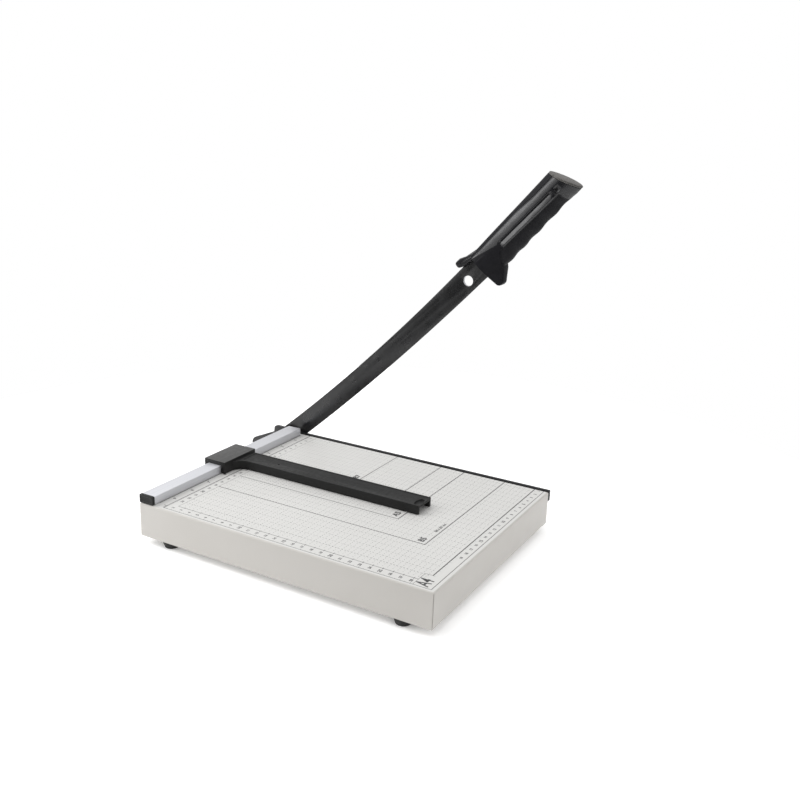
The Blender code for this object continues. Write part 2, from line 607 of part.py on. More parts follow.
def make_handle():
    """The grip moulded round the tang, its finger guard, the end cap and screws."""
    rings_count = 34
    bm = bmesh.new()
    rings = []
    for i in range(rings_count + 1):
        s = -0.003 + (HANDLE_LENGTH + 0.003) * i / rings_count
        low, half = grip_section(s)
        slant = HANDLE_SLANT * max(0, i / rings_count - 0.5) * 2
        points = handle_ring(half, low, lambda h: s - slant * h)
        rings.append([bm.verts.new(p) for p in points])
    for a, b in zip(rings, rings[1:]):
        for k in range(HANDLE_SIDES):
            j = (k + 1) % HANDLE_SIDES
            bm.faces.new((a[k], a[j], b[j], b[k]))
    bm.faces.new(rings[0])
    bm.faces.new(list(reversed(rings[-1])))
    origin = place(CUT_X, *PIVOT)
    grip = finish("handle_grip", bm, GRIP_PLASTIC, origin=origin)
    guard = [on_handle(-0.0030, -0.0040), on_handle(-0.0035, -0.0290),
             on_handle(-0.0030, -0.0412), on_handle(-0.0005, -0.0438),
             on_handle(0.0035, -0.0438), on_handle(0.0080, -0.0402),
             on_handle(0.0150, -0.0335), on_handle(0.0220, -0.0240),
             on_handle(0.0220, -0.0040)]
    combine(grip, side_plate(guard, HANDLE_MID_X - 0.0065, HANDLE_MID_X + 0.0065),
            "UNION")
    flare = [on_handle(0.016, -0.0010), on_handle(-0.0020, 0.0012),
             on_handle(-0.0130, 0.0052), on_handle(-0.0195, 0.0058),
             on_handle(-0.0200, 0.0002), on_handle(-0.0150, -0.0006),
             on_handle(0.0, -0.0040), on_handle(0.016, -0.006)]
    combine(grip, side_plate(flare, HANDLE_MID_X - 0.0075, HANDLE_MID_X + 0.0075),
            "UNION")
    slot = [on_handle(-0.030, -0.0288), on_handle(-0.004, -0.0283),
            on_handle(0.003, -0.0260), on_handle(0.087, -0.0236),
            on_handle(0.0905, -0.0195), on_handle(0.0905, -0.0105),
            on_handle(0.087, -0.0064), on_handle(0.004, -0.0039),
            on_handle(-0.004, -0.0014), on_handle(-0.030, -0.0014)]
    combine(grip, side_plate(slot, BLADE_X - GAP, BLADE_X + BLADE_THICKNESS + GAP))
    for number, (s, h) in enumerate(HANDLE_SCREWS, 1):
        seat = HANDLE_MID_X + 0.0085
        centre = place(seat, *on_handle(s, h))
        bore = ((0, 0.01), (0.0042, 0.01), (0.0042, 0), (0.0021, 0), (0.0021, -0.0125),
                (0, -0.0125))
        combine(grip, turned(bore, centre, (1, 0, 0), 20))
        pan_screw("handle_screw_%d" % number, centre + Vector((GAP, 0, 0)), (1, 0, 0),
                  0.0037, 0.0020, 0.0018, 0.0122)
    # the open end of the moulding, closed by the cap
    cap_rings = [handle_ring(HANDLE_HALF_WIDTH, -HANDLE_DEPTH,
                             lambda h: HANDLE_LENGTH + GAP - HANDLE_SLANT * h + depth)
                 for depth in (0, CAP_THICKNESS)]
    cap = finish("handle_end_cap", prism(*cap_rings), GRIP_PLASTIC, origin=origin)
    soften(cap, 0.0006, 2, 50)


make_housing()
make_brace("cross_brace_back", BRACE_FORWARD[0])
make_brace("cross_brace_front", BRACE_FORWARD[1])
make_feet()
make_knife()
make_rail()
make_gauge()
make_bracket()
make_pivot()
make_blade()
make_handle()
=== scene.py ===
"""Looks of the guillotine paper cutter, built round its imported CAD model.

Metres, in the CAD's frame: +X is the user's right, where the cut is made, +Y is the back
and +Z is up. Pieces that lie in planes of constant X have outlines of (forward, up):
forward is measured from the paper stop towards the user, up from the deck's surface.
"""
import json
import math

import bmesh
import bpy
from mathutils import Matrix, Vector


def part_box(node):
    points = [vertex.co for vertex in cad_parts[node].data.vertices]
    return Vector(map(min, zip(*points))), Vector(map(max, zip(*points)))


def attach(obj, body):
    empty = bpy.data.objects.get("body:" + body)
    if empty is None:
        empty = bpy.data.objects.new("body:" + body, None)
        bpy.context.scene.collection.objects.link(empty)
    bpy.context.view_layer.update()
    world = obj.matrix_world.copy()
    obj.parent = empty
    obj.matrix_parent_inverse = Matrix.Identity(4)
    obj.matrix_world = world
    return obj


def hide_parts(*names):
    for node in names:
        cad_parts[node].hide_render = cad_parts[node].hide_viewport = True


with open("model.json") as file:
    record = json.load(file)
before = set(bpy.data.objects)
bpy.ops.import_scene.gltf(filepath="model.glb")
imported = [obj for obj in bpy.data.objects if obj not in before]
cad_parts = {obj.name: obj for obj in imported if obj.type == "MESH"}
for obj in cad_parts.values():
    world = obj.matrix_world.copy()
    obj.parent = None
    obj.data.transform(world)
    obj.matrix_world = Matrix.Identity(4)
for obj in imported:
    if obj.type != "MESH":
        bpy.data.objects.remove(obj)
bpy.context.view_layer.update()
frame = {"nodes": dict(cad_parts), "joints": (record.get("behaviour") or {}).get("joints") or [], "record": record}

BODY_OF = {node: body for body, nodes in frame["record"]["behaviour"]["bodies"].items()
           for node in nodes}
SLOT_OF = {part["node"]: part["material_slot"] for part in frame["record"]["subparts"]}

# ---- sizes, from the frame
HOUSING_LOW, HOUSING_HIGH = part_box("base_housing")
KNIFE_LOW, KNIFE_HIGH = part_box("fixed_blade")
RAIL_LOW, RAIL_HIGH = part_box("stop_rail")
GAUGE_LOW, GAUGE_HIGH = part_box("gauge_slider")
BLADE_LOW, BLADE_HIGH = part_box("blade_arm")
BRACKET_LOW, BRACKET_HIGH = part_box("pivot_bracket")
CUT_X = KNIFE_HIGH.x
STOP_Y = RAIL_LOW.y
DECK_Z = HOUSING_HIGH.z
DECK_FRONT = STOP_Y - HOUSING_LOW.y
DECK_BACK = STOP_Y - HOUSING_HIGH.y
HOUSING_HEIGHT = HOUSING_HIGH.z - HOUSING_LOW.z
RAIL_HEIGHT = RAIL_HIGH.z - DECK_Z
BLADE_X = BLADE_LOW.x
BLADE_THICKNESS = BLADE_HIGH.x - BLADE_LOW.x
PIVOT_AT = Vector(next(j["pos_m"] for j in frame["joints"] if j["name"] == "blade_pivot"))
PIVOT = (STOP_Y - PIVOT_AT.y, PIVOT_AT.z - DECK_Z)

# ---- sizes, as in the CAD
GAP = 0.0003
SHEET = 0.0012
FOLD_RADIUS = 0.0018
CORNER_RADIUS = 0.0008
SEAM = 0.0007
FLANGE_SIDE = 0.024
FLANGE_END = 0.014
RAIL_WALL = 0.0016
BOLT_RADIUS = 0.0040
HANDLE_ANGLE = math.radians(49.1)
HANDLE_START = (0.2028, 0.2334)
HANDLE_LENGTH = 0.1104
HANDLE_DEPTH = 0.0337
HANDLE_SLANT = 0.359
HANDLE_HALF_WIDTH = 0.0115
HANDLE_MID_X = BLADE_X + BLADE_THICKNESS / 2
HANG_HOLE = (-0.0246, -0.0159)    # along and above the handle's upper edge

X, Y, Z = (1, 0, 0), (0, 1, 0), (0, 0, 1)


def place(x, forward, up):
    """World point for an X and a (forward, up) position."""
    return Vector((x, STOP_Y - forward, DECK_Z + up))


def on_handle(s, h):
    """(forward, up) of a point s along and h above the handle's upper edge."""
    cos, sin = math.cos(HANDLE_ANGLE), math.sin(HANDLE_ANGLE)
    return (HANDLE_START[0] + s * cos - h * sin, HANDLE_START[1] + s * sin + h * cos)


def handle_coordinates(point):
    """How far a world point lies along and above the handle's upper edge."""
    forward = STOP_Y - point.y - HANDLE_START[0]
    up = point.z - DECK_Z - HANDLE_START[1]
    cos, sin = math.cos(HANDLE_ANGLE), math.sin(HANDLE_ANGLE)
    return forward * cos + up * sin, up * cos - forward * sin


def named(start):
    """The CAD nodes whose names begin with start."""
    return sorted(node for node in frame["nodes"] if node.startswith(start))


def centre_of(node, **given):
    """Centre of a CAD node's box, with the coordinates that are given."""
    low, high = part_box(node)
    centre = (low + high) / 2
    for axis, value in given.items():
        setattr(centre, axis, value)
    return centre


def on_pivot(x):
    """The point at x on the blade's pivot axis."""
    return Vector((x, PIVOT_AT.y, PIVOT_AT.z))


def full_turn(steps):
    return [2 * math.pi * k / steps for k in range(steps)]


def polar(radius, angle, along):
    return Vector((radius * math.cos(angle), radius * math.sin(angle), along))


def facing(axis):
    """The turn that takes +Z to an axis."""
    return Vector(Z).rotation_difference(Vector(axis)).to_matrix()


# ---- node trees

class NodeTree:
    """The nodes of a material or of the world, and short ways to add to them."""

    def __init__(self, owner):
        owner.use_nodes = True
        self.tree = owner.node_tree
        self.noises = {}

    def fill(self, node, inputs):
        """Set a node's inputs: constants, or outputs of other nodes."""
        for socket, value in inputs.items():
            if isinstance(value, bpy.types.NodeSocket):
                self.tree.links.new(value, node.inputs[socket])
            else:
                node.inputs[socket].default_value = value

    def add(self, kind, inputs, output, **settings):
        """Add a node and return one of its outputs."""
        node = self.tree.nodes.new("ShaderNode" + kind)
        for key, value in settings.items():
            setattr(node, key, value)
        self.fill(node, inputs)
        return node.outputs[output]

    def noise(self, grain, detail=3.0, stretch=(1, 1, 1)):
        """Noise with lumps about grain metres wide, stretched along the piece's axes."""
        key = (grain, detail, stretch)
        if key not in self.noises:
            at = self.add("TexCoord", {}, "Object")
            scale = [1 / (grain * s) for s in stretch]
            at = self.add("Mapping", {"Vector": at, "Scale": scale}, "Vector")
            inputs = {"Vector": at, "Scale": 1.0, "Detail": detail}
            self.noises[key] = self.add("TexNoise", inputs, "Fac")
        return self.noises[key]

    def spread(self, value, low, high, start=0.3, end=0.7):
        """Map a value from start..end to low..high."""
        return self.add("MapRange", {"Value": value, "From Min": start, "From Max": end,
                                     "To Min": low, "To Max": high}, "Result")

    def dot(self, one, other):
        inputs = {0: one, 1: other}
        return self.add("VectorMath", inputs, "Value", operation="DOT_PRODUCT")

    def mix(self, factor, color, other):
        return self.add("Mix", {"Factor": factor, "A": color, "B": (*other, 1.0)}, "Result",
                        data_type="RGBA")

    def edges(self, radius):
        """A value that is 1 on the piece's edges and 0 away from them."""
        rounded_off = self.add("Bevel", {"Radius": radius}, "Normal", samples=4)
        flat = self.add("NewGeometry", {}, "Normal")
        return self.spread(self.dot(rounded_off, flat), 1.0, 0.0, 0.90, 0.995)


# ---- camera and light

SENSOR, LENS = 36.0, 43.75        # millimetres
CAMERA_AT = (-0.76755, -0.49941, 0.4266)
CAMERA_AZIMUTH = math.radians(30.7)
CAMERA_DOWN = math.radians(16.97)
CAMERA_ROLL = math.radians(1.55)
CAMERA_SHIFT = (0.0375, -0.0125)
BACKDROP = (0.72, 0.69, 0.0)      # horizontal direction in which the surroundings are bright
WORLD_SIDE = (0.10, 0.62)         # radiance of the dark and the bright side
WORLD_TOP = 0.40                  # radiance that is added overhead
AREA_LIGHTS = (                   # name, place, target, size, power
    ("key", (-0.50, 1.00, 0.80), (-0.10, 0.05, 0), 0.7, 6.8),
    ("side", (-0.85, 0.77, 0.43), (0.124, -0.07, 0.32), 0.60, 1.95),
    ("front_fill", (0.50, -1.50, 0.90), (0, 0, 0.05), 1.0, 8.0))
SUN_POWER = 1.35
SUN_WIDTH = math.radians(70)
SUN_FORWARD = (0.25, -0.10, -1)
FLOOR_RADIUS, FLOOR_Z = 0.62, -0.0001
FLOOR_GLOW = 0.20


def aim(obj, location, forward, roll=0.0):
    """Put obj at location, looking along forward."""
    turn = Vector(forward).to_track_quat("-Z", "Y") @ \
        Matrix.Rotation(roll, 3, "Z").to_quaternion()
    obj.matrix_world = Matrix.Translation(location) @ turn.to_matrix().to_4x4()
    bpy.context.scene.collection.objects.link(obj)


def make_camera():
    lens = bpy.data.cameras.new("camera")
    lens.sensor_width = SENSOR
    lens.lens = LENS
    lens.shift_x, lens.shift_y = CAMERA_SHIFT
    level = math.cos(CAMERA_DOWN)
    forward = (level * math.cos(CAMERA_AZIMUTH), level * math.sin(CAMERA_AZIMUTH),
               -math.sin(CAMERA_DOWN))
    camera = bpy.data.objects.new("camera", lens)
    aim(camera, CAMERA_AT, forward, CAMERA_ROLL)
    bpy.context.scene.camera = camera


def make_world():
    """White behind the object; for its light, a backdrop that is darker by the camera."""
    world = bpy.data.worlds.new("studio")
    bpy.context.scene.world = world
    look = NodeTree(world)
    direction = look.add("TexCoord", {}, "Generated")
    towards = look.dot(direction, BACKDROP)
    height = look.add("SeparateXYZ", {0: direction}, "Z")
    around = look.spread(towards, *WORLD_SIDE, -0.35, 0.75)
    overhead = look.spread(height, 0.0, WORLD_TOP, 0.15, 0.9)
    total = look.add("Math", {0: around, 1: overhead}, "Value")
    seen = look.add("LightPath", {}, "Is Camera Ray")
    shown = look.add("Mix", {"Factor": seen, "A": total, "B": 1.0}, "Result")
    look.fill(look.tree.nodes["Background"], {"Color": (1, 1, 1, 1), "Strength": shown})


def make_floor():
    mesh = bpy.data.meshes.new("floor")
    rim = [polar(FLOOR_RADIUS, a, FLOOR_Z) for a in full_turn(64)]
    mesh.from_pydata(rim, [], [range(len(rim))])
    white = bpy.data.materials.new("floor_white")
    look = NodeTree(white)
    look.fill(look.tree.nodes["Principled BSDF"],
              {"Base Color": (0.95, 0.95, 0.95, 1), "Roughness": 0.9,
               "Specular IOR Level": 0.1, "Emission Color": (1, 1, 1, 1),
               "Emission Strength": FLOOR_GLOW})
    mesh.materials.append(white)
    floor = bpy.data.objects.new("floor", mesh)
    bpy.context.scene.collection.objects.link(floor)


def make_stage():
    bpy.context.scene.view_settings.view_transform = "Standard"
    make_world()
    for name, location, target, size, power in AREA_LIGHTS:
        lamp = bpy.data.lights.new(name, "AREA")
        lamp.shape = "SQUARE"
        lamp.size = size
        lamp.energy = power
        aim(bpy.data.objects.new(name, lamp), location, Vector(target) - Vector(location))
    sky = bpy.data.lights.new("overhead", "SUN")
    sky.energy = SUN_POWER
    sky.angle = SUN_WIDTH
    aim(bpy.data.objects.new("overhead", sky), (0, 0, 2), SUN_FORWARD)
    make_floor()


# ---- materials

MATERIALS = {}


def finish(name, color, roughness, spots=None, worn=None, rough=None, bumps=(),
           metallic=0.0, level=0.5):
    """A procedural material. A noise is (grain, detail, stretch), laid out in metres.

    spots: (colour, noise) mottles the base colour. worn: (colour, edge width, noise, least,
    most) shows wear along the edges. rough: (noise, least, most). bumps: (noise, depth)s.
    """
    material = MATERIALS[name] = bpy.data.materials.new(name)
    look = NodeTree(material)
    shader = look.tree.nodes["Principled BSDF"]
    base = (*color, 1.0)
    look.fill(shader, {"Base Color": base, "Roughness": roughness, "Metallic": metallic,
                       "Specular IOR Level": level})
    if spots:
        other, grain = spots
        base = look.mix(look.spread(look.noise(*grain), 0.0, 1.0), base, other)
    if worn:
        other, width, grain, least, most = worn
        amount = look.add("Math", {0: look.edges(width),
                                   1: look.spread(look.noise(*grain), least, most)},
                          "Value", operation="MULTIPLY")
        base = look.mix(amount, base, other)
    look.fill(shader, {"Base Color": base})
    if rough:
        grain, least, most = rough
        look.fill(shader, {"Roughness": look.spread(look.noise(*grain), least, most)})
    for grain, depth in bumps:
        inputs = {"Strength": 1.0, "Distance": depth, "Height": look.noise(*grain)}
        if shader.inputs["Normal"].links:
            inputs["Normal"] = shader.inputs["Normal"].links[0].from_socket
        look.fill(shader, {"Normal": look.add("Bump", inputs, "Normal")})


def housing_paint(name, color, other):
    """Sprayed paint with a slight orange peel."""
    finish(name, color, 0.45, (other, (0.09, 2)), rough=((0.02,), 0.40, 0.50),
           bumps=(((0.0016, 2), 0.000035), ((0.00035, 1), 0.000006)), level=0.4)


def moulded_black(name, dark, light, level):
    """Black plastic with faint streaks along it, worn on its edges."""
    finish(name, (dark, dark, dark * 0.97), 0.46, ((light, light, light), (0.0007, 4, (40, 1, 1))),
           ((0.050, 0.050, 0.050), 0.0006, (0.003,), 0.1, 0.8), ((0.004, 5), 0.40, 0.55),
           (((0.00035, 2), 0.000018),), level=level)


def grip_plastic(name, least, most, grain, depth, level):
    finish(name, (0.0075, 0.0075, 0.0095), least, ((0.011, 0.011, 0.0135), (0.01, 4)),
           rough=((0.006, 4), least, most), bumps=(((grain, 2), depth),), level=level)


def make_materials():
    housing_paint("housing_paint", (0.510, 0.493, 0.466), (0.495, 0.477, 0.449))
    # a lighter copy of the housing paint for the deck's top: painted light from above
    housing_paint("deck_paint_lit", (0.590, 0.585, 0.570), (0.576, 0.571, 0.556))
    moulded_black("gauge_plastic", 0.0125, 0.019, 0.22)
    # a lighter copy of the gauge's black plastic for its top faces: painted light from above
    moulded_black("gauge_top_lit", 0.040, 0.070, 0.5)
    grip_plastic("grip_plastic", 0.22, 0.30, 0.0009, 0.000002, 0.5)
    grip_plastic("grip_texture", 0.50, 0.62, 0.00055, 0.00004, 0.2)
    # the grip's black with its reflection turned nearly off: painted shade for the crease strip, the groove and
    # the guard panel
    grip_plastic("grip_matt_shade", 0.40, 0.50, 0.0009, 0.000002, 0.12)
    finish("blade_paint", (0.0060, 0.0060, 0.0066), 0.30,
           ((0.011, 0.011, 0.012), (0.0012, 4, (1, 14, 14))),
           ((0.10, 0.10, 0.105), 0.0006, (0.004,), 0.0, 0.8), ((0.012, 5), 0.24, 0.36),
           (((0.0009, 2), 0.000012),), level=0.55)
    ground = (0.00018, 3, (60, 1, 1))
    finish("ground_steel", (0.62, 0.63, 0.65), 0.25, ((0.50, 0.51, 0.53), (0.006,)), None,
           (ground, 0.18, 0.36), ((ground, 0.000006),), metallic=1.0)
    finish("fixed_blade_steel", (0.010, 0.010, 0.0105), 0.42, None,
           ((0.06, 0.06, 0.062), 0.0005, (0.005,), 0.0, 0.9), ((0.0014, 4, (1, 12, 1)), 0.38, 0.52),
           (((0.0005, 3, (1, 12, 1)), 0.000012),), level=0.15)
    drawn = (0.00022, 3, (220, 1, 1))
    finish("rail_aluminium", (0.690, 0.695, 0.725), 0.38, ((0.600, 0.605, 0.635), drawn),
           None, ((0.0005, 4, (120, 1, 1)), 0.30, 0.50), ((drawn, 0.000007),), metallic=0.45)
    finish("cap_plastic", (0.094, 0.089, 0.083), 0.50, ((0.110, 0.104, 0.098), (0.004, 3)),
           None, ((0.003, 4), 0.42, 0.58), (((0.0004, 2), 0.000012),), level=0.45)
    finish("foot_rubber", (0.018, 0.018, 0.018), 0.75, ((0.034, 0.033, 0.032), (0.002, 4)),
           bumps=(((0.0004, 3), 0.00002),), level=0.35)
    finish("zinc_steel", (0.64, 0.65, 0.66), 0.32, ((0.50, 0.505, 0.51), (0.0016, 3)),
           None, ((0.001, 4), 0.24, 0.44), (((0.0004, 2), 0.000006),), metallic=1.0)
    finish("bronze", (0.56, 0.37, 0.17), 0.4, ((0.40, 0.25, 0.11), (0.0012, 4)),
           None, ((0.0008, 3), 0.30, 0.50), (((0.0003, 2), 0.00001),), metallic=1.0)
    finish("printed_ink", (0.030, 0.030, 0.032), 0.5, ((0.060, 0.060, 0.062), (0.0015, 4)))


def dress_cad_nodes():
    """Every CAD node gets its slot's procedural material."""
    for name, obj in frame["nodes"].items():
        obj.data.materials.clear()
        obj.data.materials.append(MATERIALS[SLOT_OF[name]])


# ---- mesh helpers

def shade(mesh, smooth):
    mesh.shade_smooth()
    mesh.set_sharp_from_angle(angle=math.radians(smooth))


def solid(name, bm, *materials, smooth=30):
    """Turn a bmesh in world coordinates into an object."""
    bmesh.ops.recalc_face_normals(bm, faces=bm.faces)
    mesh = bpy.data.meshes.new(name)
    bm.to_mesh(mesh)
    bm.free()
    for material in materials:
        mesh.materials.append(MATERIALS[material])
    shade(mesh, smooth)
    obj = bpy.data.objects.new(name, mesh)
    bpy.context.scene.collection.objects.link(obj)
    return obj


def loft(rings, faces_of=None):
    """A closed tube through matching rings; faces_of(ring, side) gives a material."""
    bm = bmesh.new()
    verts = [[bm.verts.new(p) for p in ring] for ring in rings]
    count = len(rings[0])
    for i, (a, b) in enumerate(zip(verts, verts[1:])):
        for k in range(count):
            j = (k + 1) % count
            face = bm.faces.new((a[k], a[j], b[j], b[k]))
            if faces_of:
                face.material_index = faces_of(i, k)
    bm.faces.new(list(reversed(verts[0])))
    bm.faces.new(verts[-1])
    return bm


def side_plate(outline, *x_values):
    """An outline of (forward, up) made solid from the lowest to the highest X."""
    return loft([[place(x, f, u) for f, u in outline] for x in x_values])


def flat_plate(outline, *up_values):
    """An outline of (x, forward) made solid from the lowest to the highest level."""
    return loft([[place(x, f, up) for x, f in outline] for up in up_values])


def rectangle(left, right, low, high):
    return (left, low), (right, low), (right, high), (left, high)


def block(x_low, x_high, *forward_and_up):
    return side_plate(rectangle(*forward_and_up), x_low, x_high)


def slab(centre, u, v, w, half_u, half_v, half_w):
    """A block turned so that its sides follow the directions u, v and w."""
    return loft([[centre + Vector(w) * side + Vector(u) * a + Vector(v) * b
                  for a, b in rectangle(-half_u, half_u, -half_v, half_v)]
                 for side in (-half_w, half_w)])


def arc(centre, radius, start, end, steps):
    """Points on an arc in a plane, angles in degrees."""
    angles = [math.radians(start + (end - start) * i / steps) for i in range(steps + 1)]
    return [(centre[0] + radius * math.cos(a), centre[1] + radius * math.sin(a)) for a in angles]


def bowed(start, end, bow, steps):
    """Points from start to end along a shallow arc, bow to the right of its chord."""
    dx, dy = end[0] - start[0], end[1] - start[1]
    length = math.hypot(dx, dy)
    points = []
    for i in range(steps + 1):
        t = i / steps
        push = 4 * bow * t * (1 - t) / length
        points.append((start[0] + dx * t + dy * push, start[1] + dy * t - dx * push))
    return points


def rounded(points, radius, steps=3, closed=True):
    """An outline with its corners rounded off; nearly straight points stay as they are."""
    result = []
    for i, corner in enumerate(points):
        here = Vector(corner)
        before = Vector(points[i - 1]) - here
        after = Vector(points[(i + 1) % len(points)]) - here
        ends = not closed and i in (0, len(points) - 1)
        turn = 0 if ends else math.pi - before.angle(after)
        if turn < math.radians(15):
            result.append(tuple(here))
            continue
        reach = min(radius * math.tan(turn / 2), 0.45 * before.length, 0.45 * after.length)
        start = here + before.normalized() * reach
        end = here + after.normalized() * reach
        for k in range(steps + 1):
            t = k / steps
            result.append(tuple(start * (1 - t) ** 2 + here * 2 * t * (1 - t) + end * t ** 2))
    return result


def turned(profile, centre, axis, steps=48):
    """A solid of revolution. Profile: (radius, along) from one end to the other.

    A profile that starts and ends at radius 0 is a pin; one that doesn't is closed
    into a ring by joining its end to its start.
    """
    bm = bmesh.new()
    turn = facing(axis)
    rings = [[bm.verts.new(turn @ polar(radius, a, along) + Vector(centre))
              for a in (full_turn(steps) if radius > 0 else [0])] for radius, along in profile]
    pairs = list(zip(rings, rings[1:]))
    if profile[0][0] > 0:
        pairs.append((rings[-1], rings[0]))
    for low, high in pairs:
        for i in range(steps):
            j = (i + 1) % steps
            corners = dict.fromkeys((low[i % len(low)], low[j % len(low)],
                                     high[j % len(high)], high[i % len(high)]))
            if len(corners) > 2:
                bm.faces.new(list(corners))
    return bm


def rod(radius, start, end):
    """The profile of a plain round rod."""
    return (0, start), (radius, start), (radius, end), (0, end)


def combine(obj, bm, operation="DIFFERENCE", solver="EXACT"):
    """Cut a tool's shape out of obj, or join it on."""
    modifier = obj.modifiers.new(operation.lower(), "BOOLEAN")
    modifier.operation = operation
    modifier.solver = solver
    tool = solid("tool", bm)
    tool.hide_render = True
    modifier.object = tool


def drill(obj, start, axis, length, radius, steps=32):
    """A round hole from start along axis."""
    combine(obj, turned(rod(radius, 0, length), start, axis, steps))


def drill_for(obj, fasteners, axis, length, radius, steps=24, **start):
    """A hole along axis for each fastener of that name, from start, such as z=0.01."""
    for node in named(fasteners):
        drill(obj, centre_of(node, **start), axis, length, radius, steps)


def soften(obj, width, segments=3, angle=35):
    modifier = obj.modifiers.new("soften", "BEVEL")
    modifier.width = width
    modifier.segments = segments
    modifier.limit_method = "ANGLE"
    modifier.angle_limit = math.radians(angle)
    modifier.use_clamp_overlap = False
    modifier.miter_outer = "MITER_ARC"


def settle(obj, smooth=30):
    """Apply the modifiers and remove the tools that they used."""
    tools = {m.object for m in obj.modifiers if m.type == "BOOLEAN"}
    bpy.context.view_layer.update()
    graph = bpy.context.evaluated_depsgraph_get()
    mesh = bpy.data.meshes.new_from_object(obj.evaluated_get(graph))
    obj.modifiers.clear()
    old, obj.data = obj.data, mesh
    bpy.data.meshes.remove(old)
    shade(mesh, smooth)
    for tool in tools:
        bpy.data.objects.remove(tool)


def stand_for(obj, node):
    """obj is shown in place of a CAD node and rides on its body."""
    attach(obj, BODY_OF[node])
    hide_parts(node)


def finish_piece(obj, node, smooth=30):
    settle(obj, smooth)
    stand_for(obj, node)


def turned_piece(node, profile, centre, axis, steps=48, made="turned"):
    """A turned solid in place of a CAD node."""
    name = "%s_%s" % (node, made)
    stand_for(solid(name, turned(profile, centre, axis, steps), SLOT_OF[node]), node)


def split(obj, point, normal, material_of):
    """Cut obj's faces along a plane, without parting them, and choose each one's material."""
    bm = bmesh.new()
    bm.from_mesh(obj.data)
    bmesh.ops.bisect_plane(bm, geom=bm.verts[:] + bm.edges[:] + bm.faces[:], dist=1e-6,
                           plane_co=point, plane_no=normal)
    for face in bm.faces:
        face.material_index = material_of(face, face.calc_center_median())
    bm.to_mesh(obj.data)
    bm.free()


# ---- small hardware

def make_washers():
    """Each washer keeps the place and size of its CAD node."""
    for node, edge in (("pivot_head_washer", 0.0003), ("pivot_spacer_washer", 0.0002),
                       ("pivot_inner_washer", 0.0003), ("pivot_spring_washer", 0.0003),
                       ("pivot_bushing", 0.0002)):
        low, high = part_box(node)
        section = rectangle(BOLT_RADIUS + GAP, (high.z - low.z) / 2, 0, high.x - low.x)
        turned_piece(node, rounded(section, edge), on_pivot(low.x), X, 64)


def thread(start, axis, length, radius, pitch, steps):
    """A threaded rod from start along axis, its far end chamfered."""
    depth, rows, chamfer = 0.55 * pitch, 6, 0.0008
    count = int(length / pitch * rows)
    turn = facing(axis)
    rings = []
    for i in range(count + 1):
        along = length * i / count
        taper = min(1.0, (length - along) / chamfer * 0.5 + 0.5)
        ring = []
        for k, angle in enumerate(full_turn(steps)):
            phase = (along / pitch - k / steps) % 1.0
            crest = min(1.0, abs(phase * 2 - 1) * 1.25)
            reach = (radius - depth * (1 - crest)) * (0.80 + 0.20 * taper)
            ring.append(Vector(start) + turn @ polar(reach, angle, along))
        rings.append(ring)
    return loft(rings)


def hexagon(name, centre, axis, across, height, both_ends):
    """A hexagon that grows along axis from centre, its corners turned off."""
    corner = across / math.sqrt(3)
    face = across / 2 * 0.96
    wide = corner + 0.001
    drop = (wide - face) * math.tan(math.radians(30))
    obj = solid(name, turned(rod(corner, 0, height), centre, axis, 6), "zinc_steel")
    start = ((0, 0), (face, 0), (wide, drop)) if both_ends else ((0, -0.001), (wide, -0.001))
    combine(obj, turned((*start, (wide, height - drop), (face, height), (0, height)), centre,
                        axis, 64), "INTERSECT")
    return obj


def hex_bolt(node, seat, axis, across, head, plain, threaded, pitch):
    """A bolt: plain is (radius, length, steps), threaded (radius, start, length, steps)."""
    back = -Vector(axis)
    bolt = hexagon(node + "_turned", seat, axis, across, head, False)
    combine(bolt, turned(rod(plain[0], -0.001, plain[1]), seat, back, plain[2]), "UNION")
    combine(bolt, thread(seat + back * threaded[1], back, threaded[2], threaded[0], pitch,
                         threaded[3]), "UNION")
    finish_piece(bolt, node)


def make_bolts():
    low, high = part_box("pivot_bolt")
    head, across, threaded = 0.0053, 0.0130, 0.022
    seat = on_pivot(high.x - head)
    plain = seat.x - low.x - threaded
    hex_bolt("pivot_bolt", seat, X, across, head, (BOLT_RADIUS, plain + 0.0002, 48),
             (BOLT_RADIUS, plain, threaded, 28), 0.00125)

    low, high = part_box("pivot_lock_nut")
    start, height, collar = on_pivot(high.x), high.x - low.x, 0.0014
    nut = hexagon("pivot_lock_nut_turned", start, (-1, 0, 0), across, height - collar, True)
    ring = rounded(rod(0.0054, 0.003, height), 0.0008)
    combine(nut, turned(ring, start, (-1, 0, 0), 64), "UNION")
    drill(nut, start + Vector((0.001, 0, 0)), (-1, 0, 0), 0.012, BOLT_RADIUS + GAP, 48)
    finish_piece(nut, "pivot_lock_nut")

    head, across, length, plain = 0.0030, 0.0078, 0.0105, 0.0018
    for bolt_node, nut_node in zip(named("bracket_bolt_"), named("bracket_nut_")):
        seat = centre_of(bolt_node, y=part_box(bolt_node)[1].y - head)
        hex_bolt(bolt_node, seat, Y, across, head, (0.0023, 0.002, 32),
                 (0.0024, plain, length - plain, 24), 0.0008)
        low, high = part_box(nut_node)
        start = Vector((seat.x, high.y, seat.z))
        nut = hexagon(nut_node + "_turned", start, (0, -1, 0), across, high.y - low.y, True)
        drill(nut, start + Vector((0, 0.001, 0)), (0, -1, 0), 0.008, 0.0027)
        finish_piece(nut, nut_node)


